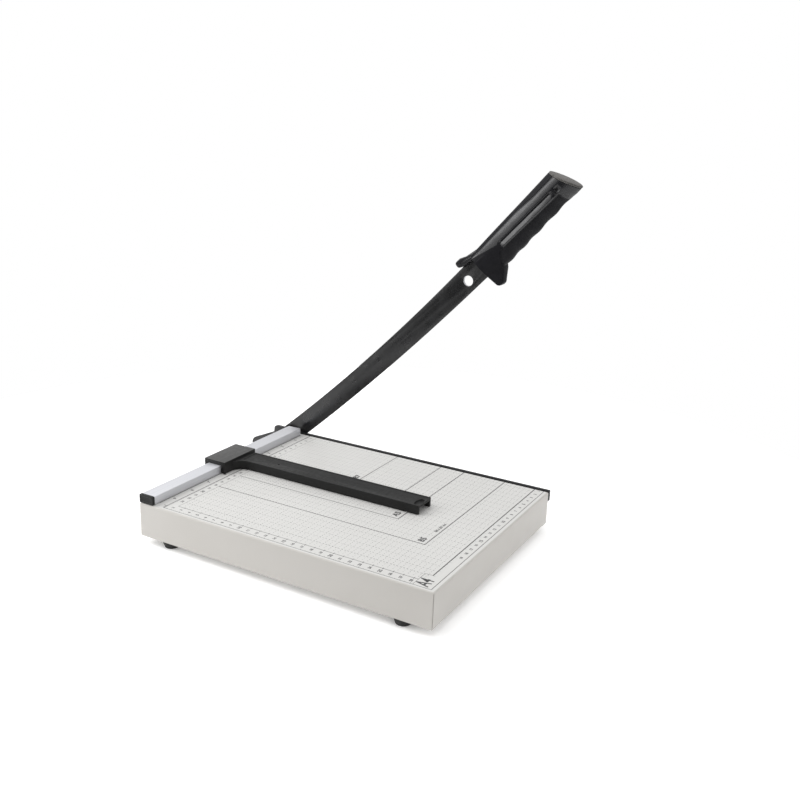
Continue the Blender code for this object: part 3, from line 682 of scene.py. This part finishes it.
def make_spring():
    """The coil spring on the pivot bolt, its end turns closed up."""
    low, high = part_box("pivot_spring")
    wire, coil, turns = 0.0008, 0.0058, 5.5
    count = int(turns * 40)
    closed = 0.9 / turns
    span = high.x - low.x - 4 * wire
    rings = []
    for i in range(count + 1):
        t = i / count
        free = min(1, max(0, (t - closed) / (1 - 2 * closed)))
        ends = wire * (min(t, closed) + max(0, t - 1 + closed)) / closed
        angle = 2 * math.pi * turns * t
        out = Vector((0, math.cos(angle), math.sin(angle)))
        centre = on_pivot(high.x - wire - ends - span * free) + out * coil
        rings.append([centre + (out * math.cos(a) + Vector(X) * math.sin(a)) * wire
                      for a in full_turn(14)])
    stand_for(solid("pivot_spring_coil", loft(rings), "zinc_steel", smooth=50), "pivot_spring")


def pan_screw(node, centre, axis, head_radius, head_height, shank_radius, length):
    """A pan head screw with a cross recess in place of a CAD screw."""
    dome = [(head_radius * math.cos(a), head_height * (0.35 + 0.65 * math.sin(a)))
            for a in (math.radians(10 * k) for k in range(9))]
    profile = ((0, -length), (shank_radius * 0.8, -length),
               (shank_radius, -length + 0.0004), (shank_radius, 0), (head_radius, 0),
               *dome, (0, head_height))
    obj = solid(node + "_turned", turned(profile, centre, axis), SLOT_OF[node])
    axis = Vector(axis)
    u = axis.orthogonal().normalized()
    v = axis.cross(u)
    reach, depth = head_radius * 0.55, head_height * 0.75
    middle = Vector(centre) + axis * (head_height - (depth - 0.001) / 2)
    for a, b in ((u, v), (v, u)):
        combine(obj, slab(middle, a, b, axis, reach, reach * 0.24, (depth + 0.001) / 2))
    finish_piece(obj, node)


def make_feet():
    """Turned rubber feet with a soft rim, and the screws in their wells."""
    head = 0.0022
    for corner in ("back_left", "back_right", "front_left", "front_right"):
        node = "foot_" + corner
        low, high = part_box(node)
        wide, tall = (high.x - low.x) / 2, high.z - low.z
        profile = ((0.0024, 0.0040), (0.0046, 0.0040), (0.0046, 0), (0.0070, 0),
                   (wide - 0.0002, tall - 0.0022), (wide - 0.0002, tall - 0.0016),
                   (wide, tall - 0.0014), (wide, tall), (0.0024, tall))
        ground = centre_of(node, z=low.z)
        turned_piece(node, rounded(profile, 0.0006, 4), ground, Z, 72, "moulded")
        node = "foot_screw_" + corner
        low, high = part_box(node)
        centre = Vector((ground.x, ground.y, low.z + head))
        pan_screw(node, centre, (0, 0, -1), 0.0040, head, 0.0020, high.z - centre.z)


def make_other_screws():
    head, shank = 0.0020, 0.0018
    for rail_node, handle_node in zip(named("rail_screw_"), named("handle_screw_")):
        low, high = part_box(rail_node)
        centre = centre_of(rail_node, z=low.z + head)
        pan_screw(rail_node, centre, (0, 0, -1), 0.0036, head, shank, high.z - centre.z)
        low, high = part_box(handle_node)
        centre = centre_of(handle_node, x=high.x - head)
        pan_screw(handle_node, centre, X, 0.0037, head, shank, centre.x - low.x)
    profile = ((0, -0.0135), (0.0017, -0.0135), (0.0020, -0.0130), (0.0020, -0.0022),
               (0.00395, -0.0002), (0.0041, -0.0001), (0.0041, 0), (0, 0))
    for number, node in enumerate(named("fixed_blade_screw_"), 1):
        centre = centre_of(node, x=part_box(node)[1].x)
        obj = solid(node + "_turned", turned(profile, centre, X), "zinc_steel")
        tilt = math.radians(25 + 50 * number)
        along = Vector((0, math.cos(tilt), math.sin(tilt)))
        across = Vector((0, -math.sin(tilt), math.cos(tilt)))
        combine(obj, slab(centre, along, across, X, 0.006, 0.0004, 0.0009))
        finish_piece(obj, node)


# ---- housing

def make_housing():
    """The folded pan, with smooth bends and tighter corners than the CAD's; its top takes a lighter copy of the
    paint as painted light from above.
    """
    low, high = HOUSING_LOW, HOUSING_HIGH
    floor = -HOUSING_HEIGHT
    bm = block(low.x, high.x, DECK_BACK, DECK_FRONT, floor, 0)
    weight = bm.edges.layers.float.new("bevel_weight_edge")
    for edge in bm.edges:
        a, b = (v.co for v in edge.verts)
        upright = abs(a.z - b.z) > HOUSING_HEIGHT / 2
        edge[weight] = CORNER_RADIUS / FOLD_RADIUS if upright else 1.0
    obj = solid("housing_pan", bm, "housing_paint", "deck_paint_lit")
    bends = obj.modifiers.new("bends", "BEVEL")
    bends.width = FOLD_RADIUS
    bends.segments = 7
    bends.limit_method = "WEIGHT"
    combine(obj, block(low.x + SHEET, high.x - SHEET, DECK_BACK + SHEET,
                       DECK_FRONT - SHEET, floor + SHEET, -SHEET))
    combine(obj, block(low.x + FLANGE_SIDE, high.x - FLANGE_SIDE, DECK_BACK + FLANGE_END,
                       DECK_FRONT - FLANGE_END, floor - 0.005, floor + 0.005))
    notch = 0.0045
    for x in (low.x + 0.019, high.x - 0.013):
        combine(obj, block(x - notch, x + notch, DECK_FRONT - SHEET - 0.002,
                           DECK_FRONT + 0.002, floor - 0.002, floor + 0.0016))
    drill_for(obj, "foot_screw_", Z, 0.006, 0.0024, z=low.z - 0.002)
    drill_for(obj, "rail_screw_", Z, 0.006, 0.0021, z=high.z - 0.004)
    drill_for(obj, "fixed_blade_screw_", X, 0.008, 0.0023, x=high.x - 0.004)
    drill_for(obj, "bracket_bolt_", Y, 0.008, 0.0028, y=high.y - 0.004)
    for x, right in ((low.x, -1), (high.x, 1)):
        for forward, back in ((DECK_BACK, 1), (DECK_FRONT, -1)):
            along = Vector((right, back, 0)).normalized()
            across = Vector((-along.y, along.x, 0))
            combine(obj, slab(place(x, forward, floor / 2 - FOLD_RADIUS), along, Z,
                              across, 0.0009, HOUSING_HEIGHT / 2, SEAM / 2))
    finish_piece(obj, "base_housing", 25)
    # painted light: the upward deck faces take the lighter copy of the housing paint
    for face in obj.data.polygons:
        if face.normal.z > 0.99 and face.center.z > DECK_Z - SHEET / 2:
            face.material_index = 1


# ---- fixed blade

def make_knife():
    """The fixed blade: black flat bar, its upper outer edge ground bright."""
    low, high = KNIFE_LOW, KNIFE_HIGH
    deep, front = high.z - low.z, STOP_Y - low.y
    proud, ground, chamfer = 0.0005, 0.0011, 0.0012
    outline = ((DECK_BACK, -deep), (front - chamfer, -deep), (front, -deep + chamfer),
               (front, proud), (DECK_BACK, proud))
    obj = solid("fixed_blade_bar", side_plate(rounded(outline, 0.0003, 2), low.x, high.x),
                "fixed_blade_steel", "ground_steel")
    cone = ((0, 0.002), (0.0045, 0.002), (0.0045, 0), (0.0024, -0.0022),
            (0.0024, -0.012), (0, -0.012))
    for node in named("fixed_blade_screw_"):
        combine(obj, turned(cone, centre_of(node, x=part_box(node)[1].x), X))
    soften(obj, 0.00022, 2, 50)
    finish_piece(obj, "fixed_blade")
    edge = DECK_Z - ground
    split(obj, (0, 0, edge), Z,
          lambda face, centre: 1 if face.normal.x > 0.5 and centre.z > edge else 0)


# ---- paper stop

def make_rail():
    """The hollow aluminium extrusion and its end cap."""
    back = STOP_Y - RAIL_HIGH.y
    low = RAIL_LOW.z - DECK_Z
    groove_low, groove_high, groove_deep = 0.0030, 0.0058, 0.0018
    outline = ((back, low), (0, low), (0, RAIL_HEIGHT), (back, RAIL_HEIGHT),
               (back, groove_high), (back + groove_deep, groove_high),
               (back + groove_deep, groove_low), (back, groove_low))
    bar = side_plate(rounded(outline, 0.00045), RAIL_LOW.x, RAIL_HIGH.x)
    obj = solid("rail_extrusion", bar, "rail_aluminium")
    hollow = rectangle(back + 0.0034, -RAIL_WALL, low + RAIL_WALL, RAIL_HEIGHT - RAIL_WALL)
    combine(obj, side_plate(rounded(hollow, 0.0006), RAIL_LOW.x - 0.01, RAIL_HIGH.x + 0.01))
    drill_for(obj, "rail_screw_", Z, 0.004, 0.0021, z=DECK_Z - 0.001)
    soften(obj, 0.0002, 2, 60)
    finish_piece(obj, "stop_rail")

    low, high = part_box("rail_end_cap")
    inset = 0.0016
    face = STOP_Y - high.y, STOP_Y - low.y, low.z - DECK_Z, high.z - DECK_Z
    panel = face[0] + inset, face[1] - inset, face[2] + inset, face[3] - inset
    cap = solid("rail_end_cap_moulded",
                side_plate(rounded(rectangle(*face), 0.0013, 5), low.x, RAIL_LOW.x - GAP),
                "gauge_plastic")
    combine(cap, side_plate(rounded(rectangle(*panel), 0.0009, 4), low.x - 0.001, low.x + 0.00035))
    combine(cap, block(RAIL_LOW.x - GAP - 0.001, high.x, back + 0.0037, -RAIL_WALL - GAP,
                       2 * GAP + RAIL_WALL, RAIL_HEIGHT - RAIL_WALL - GAP), "UNION")
    soften(cap, 0.0003, 3, 50)
    finish_piece(cap, "rail_end_cap")


# ---- sliding gauge

def make_gauge():
    """The moulded block and arm: a shallow tray on top, a channel open at its tip. Its upward faces get a lighter
    copy of the black plastic as painted light from above.
    """
    skirt_front, skirt_end = 0.0054, GAUGE_LOW.z - DECK_Z
    skirt_back, top = STOP_Y - GAUGE_HIGH.y, GAUGE_HIGH.z - DECK_Z
    left, right = CUT_X - 0.1313, CUT_X - 0.1056
    tip, arm_top, lift, clear = STOP_Y - GAUGE_LOW.y, 0.0098, 0.0006, 0.0004
    back, key_low, key_high, key = DECK_BACK, 0.0034, 0.0054, 0.0013
    outline = ((skirt_front, lift), (skirt_front, top), (skirt_back, top),
               (skirt_back, skirt_end), (back - clear, skirt_end), (back - clear, key_low),
               (back + key, key_low), (back + key, key_high), (back - clear, key_high),
               (back - clear, RAIL_HEIGHT + clear), (clear, RAIL_HEIGHT + clear), (clear, lift))
    obj = solid("gauge_moulding", side_plate(outline, GAUGE_LOW.x, GAUGE_HIGH.x),
                "gauge_plastic", "gauge_top_lit")
    root, fillet = skirt_front - 0.002, 0.013
    plan = [(right, root), (right, tip), (left, tip),
            *arc((left - fillet, skirt_front + fillet), fillet, 0, -90, 12), (left - fillet, root)]
    combine(obj, flat_plate(plan, lift, arm_top), "UNION")
    rim, wall, past = 0.0016, 0.0028, tip + 0.01
    tray = rounded(rectangle(left + rim, right - rim, skirt_front + 0.004, past), 0.002, 4)
    combine(obj, flat_plate(tray, arm_top - 0.0007, arm_top + 0.01))
    channel = block(left + wall, right - wall, skirt_front + 0.003, past, -0.005, arm_top - 0.0032)
    combine(obj, channel)
    middle = (left + right) / 2
    drill(obj, place(middle, 0.048, arm_top - 0.0017), Z, 0.006, 0.0011, 24)
    dish = ((-0.0026, -0.0024, 0.0078, 0.0036), (0.0010, -0.0022, 0.0082, 0.0040))
    combine(obj, loft([[place(middle + shift + across * math.cos(a),
                              tip - 0.0046 + along * math.sin(a), arm_top + up)
                        for a in full_turn(40)] for up, shift, across, along in dish]))
    centre = (GAUGE_LOW.x + GAUGE_HIGH.x) / 2
    combine(obj, block(centre - 0.019, centre + 0.019, -0.013, -0.003,
                       RAIL_HEIGHT - 0.002, RAIL_HEIGHT + 0.0022))
    soften(obj, 0.00035, 3, 50)
    finish_piece(obj, "gauge_slider")
    # painted light: the upward top faces take the lighter copy of the black plastic
    for face in obj.data.polygons:
        if face.normal.z > 0.9 and face.center.z > GAUGE_HIGH.z - 0.0004:
            face.material_index = 1


# ---- pivot bracket

def make_bracket():
    back, flange = STOP_Y - BRACKET_LOW.y, 0.003
    pin_at = centre_of("opening_stop_pin")
    stop_pin = (STOP_Y - pin_at.y, pin_at.z - DECK_Z)
    inner, outer = CUT_X - 0.0055, BRACKET_HIGH.x
    cheek = [(back, BRACKET_HIGH.z - DECK_Z), *arc((-0.0373, -0.0012), 0.0045, 90, 180, 8),
             (-0.0422, -0.0070), *arc(PIVOT, 0.0100, 115, 190, 12),
             *arc(stop_pin, 0.0042, 170, 280, 12), (back, -0.0300)]
    obj = solid("bracket_plate", side_plate(cheek, inner, outer), "blade_paint")
    tab = block(BRACKET_LOW.x, inner + 0.001, back - flange, back, -0.0290, -0.0070)
    combine(obj, tab, "UNION")
    drill(obj, place(inner - 0.002, *PIVOT), X, 0.010, BOLT_RADIUS + GAP, 48)
    drill(obj, place(inner - 0.002, *stop_pin), X, 0.010, 0.0023)
    drill_for(obj, "bracket_bolt_", Y, 0.008, 0.0028, 32, y=BRACKET_LOW.y - 0.002)
    soften(obj, 0.0004, 3, 40)
    finish_piece(obj, "pivot_bracket")

    pin_at.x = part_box("opening_stop_pin")[0].x
    shank, head, shoulder, length = 0.0020, 0.0033, 0.0042, 0.0100
    profile = rounded(((0, 0), (shank, 0), (shank, shoulder), (head, shoulder),
                       (head, length), (0, length)), 0.0006, 4, closed=False)
    turned_piece("opening_stop_pin", profile, pin_at, X)


# ---- blade arm

def handle_outline(*points):
    """(forward, up) points from points along and above the handle's upper edge."""
    return [on_handle(s, h) for s, h in points]


def make_blade():
    """The curved plate; its outer face is ground down to the cutting edge, and its hang hole's wall is made light
    as a painted highlight.
    """
    steps, grind, land = 48, 0.0048, 0.0006
    edge = bowed((-0.0198, -0.0191), on_handle(-0.004, -0.0277), 0.0046, steps)
    tang = rounded(handle_outline((0.003, -0.0255), (0.086, -0.0230), (0.090, -0.0190),
                                  (0.090, -0.0110), (0.086, -0.0070), (0.004, -0.0045)),
                   0.001, closed=False)
    back = bowed((-0.0304, 0.0020), on_handle(-0.012, -0.0022), 0.0054, 40)
    tail = [(-0.0388, -0.0050), (-0.0467, -0.0077),
            *arc((-0.0713, -0.0276), 0.0080, 114, 294, 18), *arc(PIVOT, 0.0120, 262, 298, 6)]
    outline = [*edge, *tang, *reversed(back), *tail]
    ground = list(outline)
    for i, point in enumerate(edge):
        along = (Vector(edge[min(i + 1, steps)]) - Vector(edge[max(i - 1, 0)])).normalized()
        t = i / steps
        depth = grind * min(1.0, t / 0.06, (1 - t) / 0.05)
        ground[i] = tuple(Vector(point) + Vector((-along.y, along.x)) * depth)
    layers = ((BLADE_X, outline), (BLADE_X + land, outline), (BLADE_X + BLADE_THICKNESS, ground))
    bm = loft([[place(x, f, u) for f, u in shape] for x, shape in layers],
              lambda ring, side: 1 if ring == 1 and side < steps else 0)
    obj = solid("blade_plate", bm, "blade_paint", "ground_steel", "rail_aluminium")
    start = BLADE_X - 0.002
    drill(obj, place(start, *PIVOT), X, 0.008, 0.0063, 64)
    drill(obj, place(start, *on_handle(*HANG_HOLE)), X, 0.008, 0.0053, 64)
    drill_for(obj, "handle_screw_", X, 0.008, 0.0024, 32, x=start)
    soften(obj, 0.00022, 3, 40)
    finish_piece(obj, "blade_arm")
    # painted highlight: the hang hole's wall takes the light aluminium finish so it shows a lit crescent
    hole = place(HANDLE_MID_X, *on_handle(*HANG_HOLE))
    for face in obj.data.polygons:
        if (face.center - hole).length < 0.0060 and abs(face.normal.x) < 0.9:
            face.material_index = 2


# ---- handle

CREASE = ((-0.001, -0.0042), (0.065, -0.0046), (0.085, -0.0072), (0.112, -0.0078))
GROOVE = ((0.030, -0.0149), (0.100, -0.01745))
FINGER_FRONT = ((-0.0400, 0.0225), (-0.0348, 0.0190), (-0.0315, 0.0169),
                (-0.0272, 0.0182), (-0.0178, 0.0284))
FINGER_END = 0.1070
LINES_MIDDLE, LINES_HALF = 0.0665, 0.0320
GROOVE_DEPTH, RIB_HEIGHT = 0.0012, 0.0009
# the third finish is the dulled one that reads dark: painted shade
PLASTIC, TEXTURE, MATT_SHADE = 0, 1, 2
GRIP_SMOOTH = 62


def ramp(value, start, end):
    """0 before start, 1 after end, and smooth between them."""
    t = min(1.0, max(0.0, (value - start) / (end - start)))
    return t * t * (3 - 2 * t)


def ridge(value, half, edge):
    """1 within half of zero, falling to 0 over edge."""
    return 1 - ramp(abs(value), half, half + edge)


def follow(points, value):
    """Second coordinate at a first coordinate, along a line of points."""
    for (a, b), (c, d) in zip(points, points[1:]):
        if value <= c:
            return b + (d - b) * max(0.0, (value - a) / (c - a))
    return points[-1][1]


def panel_edge(s):
    """Height of the upper edge of the grip's textured area."""
    return -0.0199 - 0.043 * (s - 0.028)


def in_finger_area(s, h):
    """How far into the textured area below the rib a point of the grip lies, 0 to 1."""
    end = FINGER_END + 0.5 * max(0.0, -0.029 - h)
    return ramp(panel_edge(s) - h, 0.0, 0.0009) \
        * ramp(s - follow(FINGER_FRONT, h), 0.0, 0.0010) * ramp(end - s, 0.0, 0.0008)


def grip_depth(s, h):
    """How deep the grip's side is moulded in, for a point (s, h) of it."""
    groove, crest = follow(GROOVE, s), panel_edge(s) + 0.0009
    if h > groove:
        lines = GROOVE_DEPTH * ridge(h - groove, 0.0003, 0.0017)
    elif h > crest:
        rise = (groove - h) / (groove - crest)
        lines = GROOVE_DEPTH - (GROOVE_DEPTH + RIB_HEIGHT) * rise
    else:
        lines = -RIB_HEIGHT * ridge(h - crest, 0.0, 0.0011)
    crease = ridge(h - follow(CREASE, s), 0.0001, 0.0010) * ramp(s, 0.0, 0.012)
    pocket = ridge(s - 0.1090, 0.0016, 0.0018) * ridge(h + 0.0192, 0.0014, 0.0018)
    return 0.0010 * in_finger_area(s, h) + lines * ridge(s - LINES_MIDDLE, LINES_HALF, 0.006) \
        + 0.0005 * crease + 0.0014 * pocket


def grip_section(s):
    """Lower edge, half width and roundness of the grip at a distance s along it."""
    low = -HANDLE_DEPTH
    hollows_end, first, pitch = 0.1055, 0.0252, 0.0192
    if s < hollows_end:
        wave = 0.5 - 0.5 * math.cos(2 * math.pi * (s - first) / pitch)
        low += 0.0015 * (0.35 + 0.65 * wave) * ramp(hollows_end - s, 0.0, 0.004)
    half = HANDLE_HALF_WIDTH * (0.86 + 0.14 * min(1, max(0, s / 0.05)))
    return low, half, 0.72 + 0.50 * ramp(s, 0.02, 0.10)


def grip_heights(s, low):
    """Heights of the points down one side of the grip, close together at its lines."""
    crease, groove, panel = follow(CREASE, s), follow(GROOVE, s), panel_edge(s)
    stops = ((crease + 0.0011, 8), (crease - 0.0011, 12), (groove + 0.0020, 14),
             (groove - 0.0020, 9), (panel + 0.0001, 5), (panel - 0.0011, 0))
    heights = [stops[0][0] * (k / 10) ** 2 for k in range(1, 10)]
    for (start, count), (end, _) in zip(stops, stops[1:]):
        heights += [start + (end - start) * k / count for k in range(count)]
    start = stops[-1][0]
    return heights + [low + (start - low) * (1 - k / 22) ** 1.6 for k in range(22)]


def handle_ring(s_start, slant, low, half, crown):
    """A pointed oval across the handle, with the grip's moulded sides."""
    side = []
    for h, level in zip(grip_heights(s_start, low), grip_heights(s_start - slant * low / 2, low)):
        h += (level - h) * min(1, 2 * h / low)
        s = s_start - slant * h
        round_off = max(0, 4 * h / low * (1 - h / low)) ** 0.5
        side.append((round_off ** crown * half - grip_depth(s, h) * min(1, round_off * 2), s, h))
    bottom = (0, s_start - slant * low, low)
    return [(0, s_start, 0), *side, bottom, *((-x, s, h) for x, s, h in reversed(side))]


def soft_shape(bm, width):
    """A bmesh with its edges rounded off."""
    obj = solid("shape", bm)
    soften(obj, width, 4, 30)
    settle(obj)
    result = bmesh.new()
    result.from_mesh(obj.data)
    bpy.data.objects.remove(obj)
    return result


def join_wing(grip, points, corner, half_width, edge, axis, thinner, start, end):
    """Join a plate to the grip that gets thinner from start to end along axis s or h."""
    outline = rounded(handle_outline(*points), corner, 4)
    bm = soft_shape(side_plate(outline, HANDLE_MID_X - half_width, HANDLE_MID_X + half_width), edge)
    for vert in bm.verts:
        reach = handle_coordinates(vert.co)["sh".index(axis)]
        narrow = 1 - thinner * ramp(reach, start, end)
        vert.co.x = HANDLE_MID_X + (vert.co.x - HANDLE_MID_X) * narrow
    combine(grip, bm, "UNION", "MANIFOLD")


def darken_guard(grip, start, end):
    """Give the guard's panel the dulled finish that stands for shade, below a slanting line from start to end."""
    corner = place(0, *on_handle(*start))
    up = (place(0, *on_handle(*end)) - corner).cross(Vector(X))

    def finish_of(face, centre):
        ahead = start[0] - 0.0006 < handle_coordinates(centre)[0] < end[0]
        panel = ahead and (centre - corner).dot(up) < 0 and face.material_index == PLASTIC
        return MATT_SHADE if panel else face.material_index

    split(grip, corner, up, finish_of)
    shade(grip.data, GRIP_SMOOTH)


def make_grip():
    """The moulded grip with its guard and thumb flare, slotted for the blade's tang."""
    count, front = 150, -0.003
    rings, plan = [], []
    for i in range(count + 1):
        s = front + (HANDLE_LENGTH - front) * i / count
        slant = HANDLE_SLANT * max(0, i / count - 0.5) * 2
        plan.append(handle_ring(s, slant, *grip_section(s)))
        rings.append([place(HANDLE_MID_X + x, *on_handle(a, h)) for x, a, h in plan[-1]])

    def finish_of(ring, side):
        s, h = plan[ring][side][1:]
        in_groove = -0.0004 < h - follow(GROOVE, s) < 0.0014
        # painted shade: the strip above the crease and the groove take the dulled finish
        if in_groove and abs(s - LINES_MIDDLE) < 0.0335 or h > follow(CREASE, s) - 0.0001:
            return MATT_SHADE
        return TEXTURE if in_finger_area(s, h) > 0.5 else PLASTIC

    grip = solid("handle_grip_moulded", loft(rings, finish_of), "grip_plastic",
                 "grip_texture", "grip_matt_shade", smooth=50)
    guard = ((-0.0030, -0.0095), (-0.0035, -0.0290), (-0.0030, -0.0412), (-0.0005, -0.0438),
             (0.0035, -0.0438), (0.0080, -0.0402), (0.0150, -0.0345), (0.0172, -0.0312),
             (0.0180, -0.0272), (0.0225, -0.0220), (0.0290, -0.0172), (0.0260, -0.0125))
    join_wing(grip, guard, 0.003, 0.0100, 0.0010, "h", 0.52, -0.016, -0.043)
    flare = ((0.022, -0.0016), (0.0060, -0.0004), (-0.0060, 0.0018), (-0.0130, 0.0052),
             (-0.0206, 0.0056), (-0.0214, -0.0006), (-0.0164, -0.0030), (-0.0020, -0.0052),
             (0.022, -0.0080))
    join_wing(grip, flare, 0.004, 0.0075, 0.0012, "s", 0.75, -0.008, 0.020)
    slot = handle_outline((-0.030, -0.0288), (-0.004, -0.0283), (0.003, -0.0260),
                          (0.087, -0.0236), (0.0905, -0.0195), (0.0905, -0.0105),
                          (0.087, -0.0064), (0.004, -0.0039), (-0.004, -0.0014), (-0.030, -0.0014))
    combine(grip, side_plate(slot, BLADE_X - GAP, BLADE_HIGH.x + GAP), solver="MANIFOLD")
    bore = ((0, 0.01), (0.0042, 0.01), (0.0042, 0), (0.0021, 0), (0.0021, -0.0125), (0, -0.0125))
    for node in named("handle_screw_"):
        seat = centre_of(node, x=HANDLE_MID_X + 0.0085)
        combine(grip, turned(bore, seat, X, 40), solver="MANIFOLD")
    finish_piece(grip, "handle_grip", GRIP_SMOOTH)
    darken_guard(grip, (-0.0030, -0.0044), (0.0310, -0.0150))


def make_handle_cap():
    """The cap that closes the grip's slanted end; its rims are slightly smaller."""
    rings = []
    rims = ((0.0, 0.985), (0.0005, 1.0), (0.0015, 1.0), (0.0020, 0.985), (0.0022, 0.955))
    for depth, scale in rims:
        ring = handle_ring(HANDLE_LENGTH + GAP + depth, HANDLE_SLANT, -HANDLE_DEPTH,
                           HANDLE_HALF_WIDTH, 1.22)
        rings.append([place(HANDLE_MID_X + x * scale,
                            *on_handle(s, -HANDLE_DEPTH / 2 + (h + HANDLE_DEPTH / 2) * scale))
                      for x, s, h in ring])
    cap = solid("handle_end_cap_moulded", loft(rings), "cap_plastic", smooth=50)
    stand_for(cap, "handle_end_cap")


# ---- print on the deck

INK_LIFT = 0.00002
TICK = 0.005                      # between the ticks of a centimetre ruler
CENTIMETRE, INCH = 0.010, 0.0254
RIGHT, LEFT, RULER = 0.0062, 0.2535, 0.2433       # measured from the cut
NEAR, FAR, FRONT_RULER, FRONT = 0.0205, 0.2825, 0.2898, 0.2998    # from the stop
CORNER = 0.2310                   # where the front ruler's band ends at the left


def ink_box(bm, *sides):
    """A thin solid of ink on the deck: from the cut, from and to; from the stop, the same."""
    top, bottom = [[bm.verts.new(place(CUT_X - a, f, up)) for a, f in rectangle(*sides)]
                   for up in (INK_LIFT, -INK_LIFT)]
    bm.faces.new(top)
    bm.faces.new(list(reversed(bottom)))
    for i in range(4):
        j = (i + 1) % 4
        bm.faces.new((bottom[i], bottom[j], top[j], top[i]))


def line_across(bm, forward, start, end, width):
    ink_box(bm, start, end, forward - width / 2, forward + width / 2)


def line_forward(bm, across, start, end, width):
    ink_box(bm, across - width / 2, across + width / 2, start, end)


def ink_piece(name, bm):
    obj = solid(name, bm, "printed_ink", smooth=20)
    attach(obj, "base")


def print_lines():
    """Borders, ruler bands with their ticks, the corners of the paper formats, and a painted shadow line along the
    rail's foot.
    """
    bm = bmesh.new()
    # the first line, just in front of the rail, is a painted shadow along the rail's foot
    for line in ((0.0004, 0.0120, 0.2470, 0.0005), (FRONT, RIGHT, LEFT, 0.0006),
                 (FRONT_RULER, RIGHT, CORNER, 0.0010), (FAR, CORNER, LEFT, 0.00035),
                 (0.0105, RIGHT, LEFT, 0.0008), (0.0116, RIGHT, LEFT, 0.0002),
                 (NEAR, RIGHT, RULER, 0.0003)):
        line_across(bm, *line)
    for line in ((LEFT, 0.0108, FRONT, 0.0005), (RULER, NEAR, FAR, 0.0005),
                 (CORNER, FAR, FRONT_RULER, 0.00035)):
        line_forward(bm, *line)
    ticks = [(TICK * step, 0.0022 if step % 2 == 0 else 0.0012) for step in range(1, 57)]
    for at, long in ticks:
        line_across(bm, at - 0.0001, LEFT - long, LEFT, 0.00018)
    for at, long in ticks[:46]:
        line_forward(bm, at + RIGHT - TICK, FRONT_RULER, FRONT_RULER + long, 0.00018)
    for number in range(3, 29):
        line_across(bm, CENTIMETRE * number - 0.0014, RULER - 0.0016, RULER + 0.0016, 0.00045)
    for forward, across in ((0.128, 0.091), (0.182, 0.128), (0.2095, 0.149), (0.2565, 0.1833)):
        line_across(bm, forward, RIGHT, across, 0.00085)
        line_forward(bm, across, NEAR, forward, 0.00075)
    for number in range(1, 10):
        line_forward(bm, INCH * number, 0.0012, 0.0030, 0.00025)
    ink_piece("deck_print_lines", bm)


def print_grid():
    """The dashed grid of the deck, every 5 mm forward and every 10 mm across."""
    bm = bmesh.new()
    pitch, dash, right, left = 0.0033, 0.0014, 0.0070, 0.2430
    for row in range(1, 54):
        width = 0.00030 if row % 2 == 0 else 0.00020
        for k in range(int((left - right) / pitch)):
            start = right + pitch * k
            line_across(bm, NEAR + TICK * row, start, start + dash, width)
    for column in range(1, 24):
        width = 0.00050 if column == 23 else 0.00030
        for k in range(int((FRONT_RULER - NEAR) / pitch)):
            start = NEAR + 0.0008 + pitch * k
            line_forward(bm, CENTIMETRE * column + 0.0025, start, start + dash, width)
    ink_piece("deck_print_grid", bm)


def figures():
    """Every text on the deck: (text, distance from the cut, from the stop, size)."""
    small, large = 0.0038, 0.0048
    texts = [(str(n), 0.2484, CENTIMETRE * n - 0.0014, small if n % 5 else large)
             for n in range(1, 29)]
    texts += [(str(n), CENTIMETRE * n - 0.0015, 0.2953, small if n % 5 else large)
              for n in range(1, 20)]
    texts += [(str(n), INCH * n + 0.0025, 0.0052, large) for n in range(1, 10)]
    texts += [(str(n), CENTIMETRE * n + 0.0025, 0.0162, small if n % 10 else 0.0046)
              for n in range(1, 24)]
    return texts + [("B7", 0.0815, 0.1220, 0.0080), ("B6", 0.1190, 0.1750, 0.0080),
                    ("A5", 0.1395, 0.2030, 0.0085), ("B5", 0.1750, 0.2500, 0.0085),
                    ("148 x 210 mm", 0.1090, 0.2052, 0.0036),
                    ("182 x 257 mm", 0.1445, 0.2522, 0.0036), ("A4", 0.2450, 0.2900, 0.0180)]


def print_figures():
    """The numbers of the rulers and the names of the paper formats."""
    bm = bmesh.new()
    for body, across, forward, size in figures():
        curve = bpy.data.curves.new("figure", "FONT")
        curve.body = body
        curve.size = size
        curve.align_x, curve.align_y = "CENTER", "CENTER"
        curve.resolution_u = 3
        curve.extrude = INK_LIFT
        curve.offset = 0.00016 if size < 0.006 else 0.00030
        letters = bpy.data.objects.new("figure", curve)
        letters.location = place(CUT_X - across, forward, 0)
        letters.scale.x = 0.62 if size > 0.01 else 1.0
        bpy.context.scene.collection.objects.link(letters)
        bpy.context.view_layer.update()
        graph = bpy.context.evaluated_depsgraph_get()
        mesh = bpy.data.meshes.new_from_object(letters.evaluated_get(graph))
        mesh.transform(letters.matrix_world)
        bm.from_mesh(mesh)
        bpy.data.objects.remove(letters)
        bpy.data.meshes.remove(mesh)
    bmesh.ops.remove_doubles(bm, verts=bm.verts, dist=1e-6)
    ink_piece("deck_print_figures", bm)


for make in (make_camera, make_stage, make_materials, dress_cad_nodes, make_housing,
             print_lines, print_grid, print_figures, make_feet, make_knife, make_rail,
             make_gauge, make_bracket, make_blade, make_grip, make_handle_cap, make_washers,
             make_bolts, make_spring, make_other_screws):
    make()
bpy.context.view_layer.update()
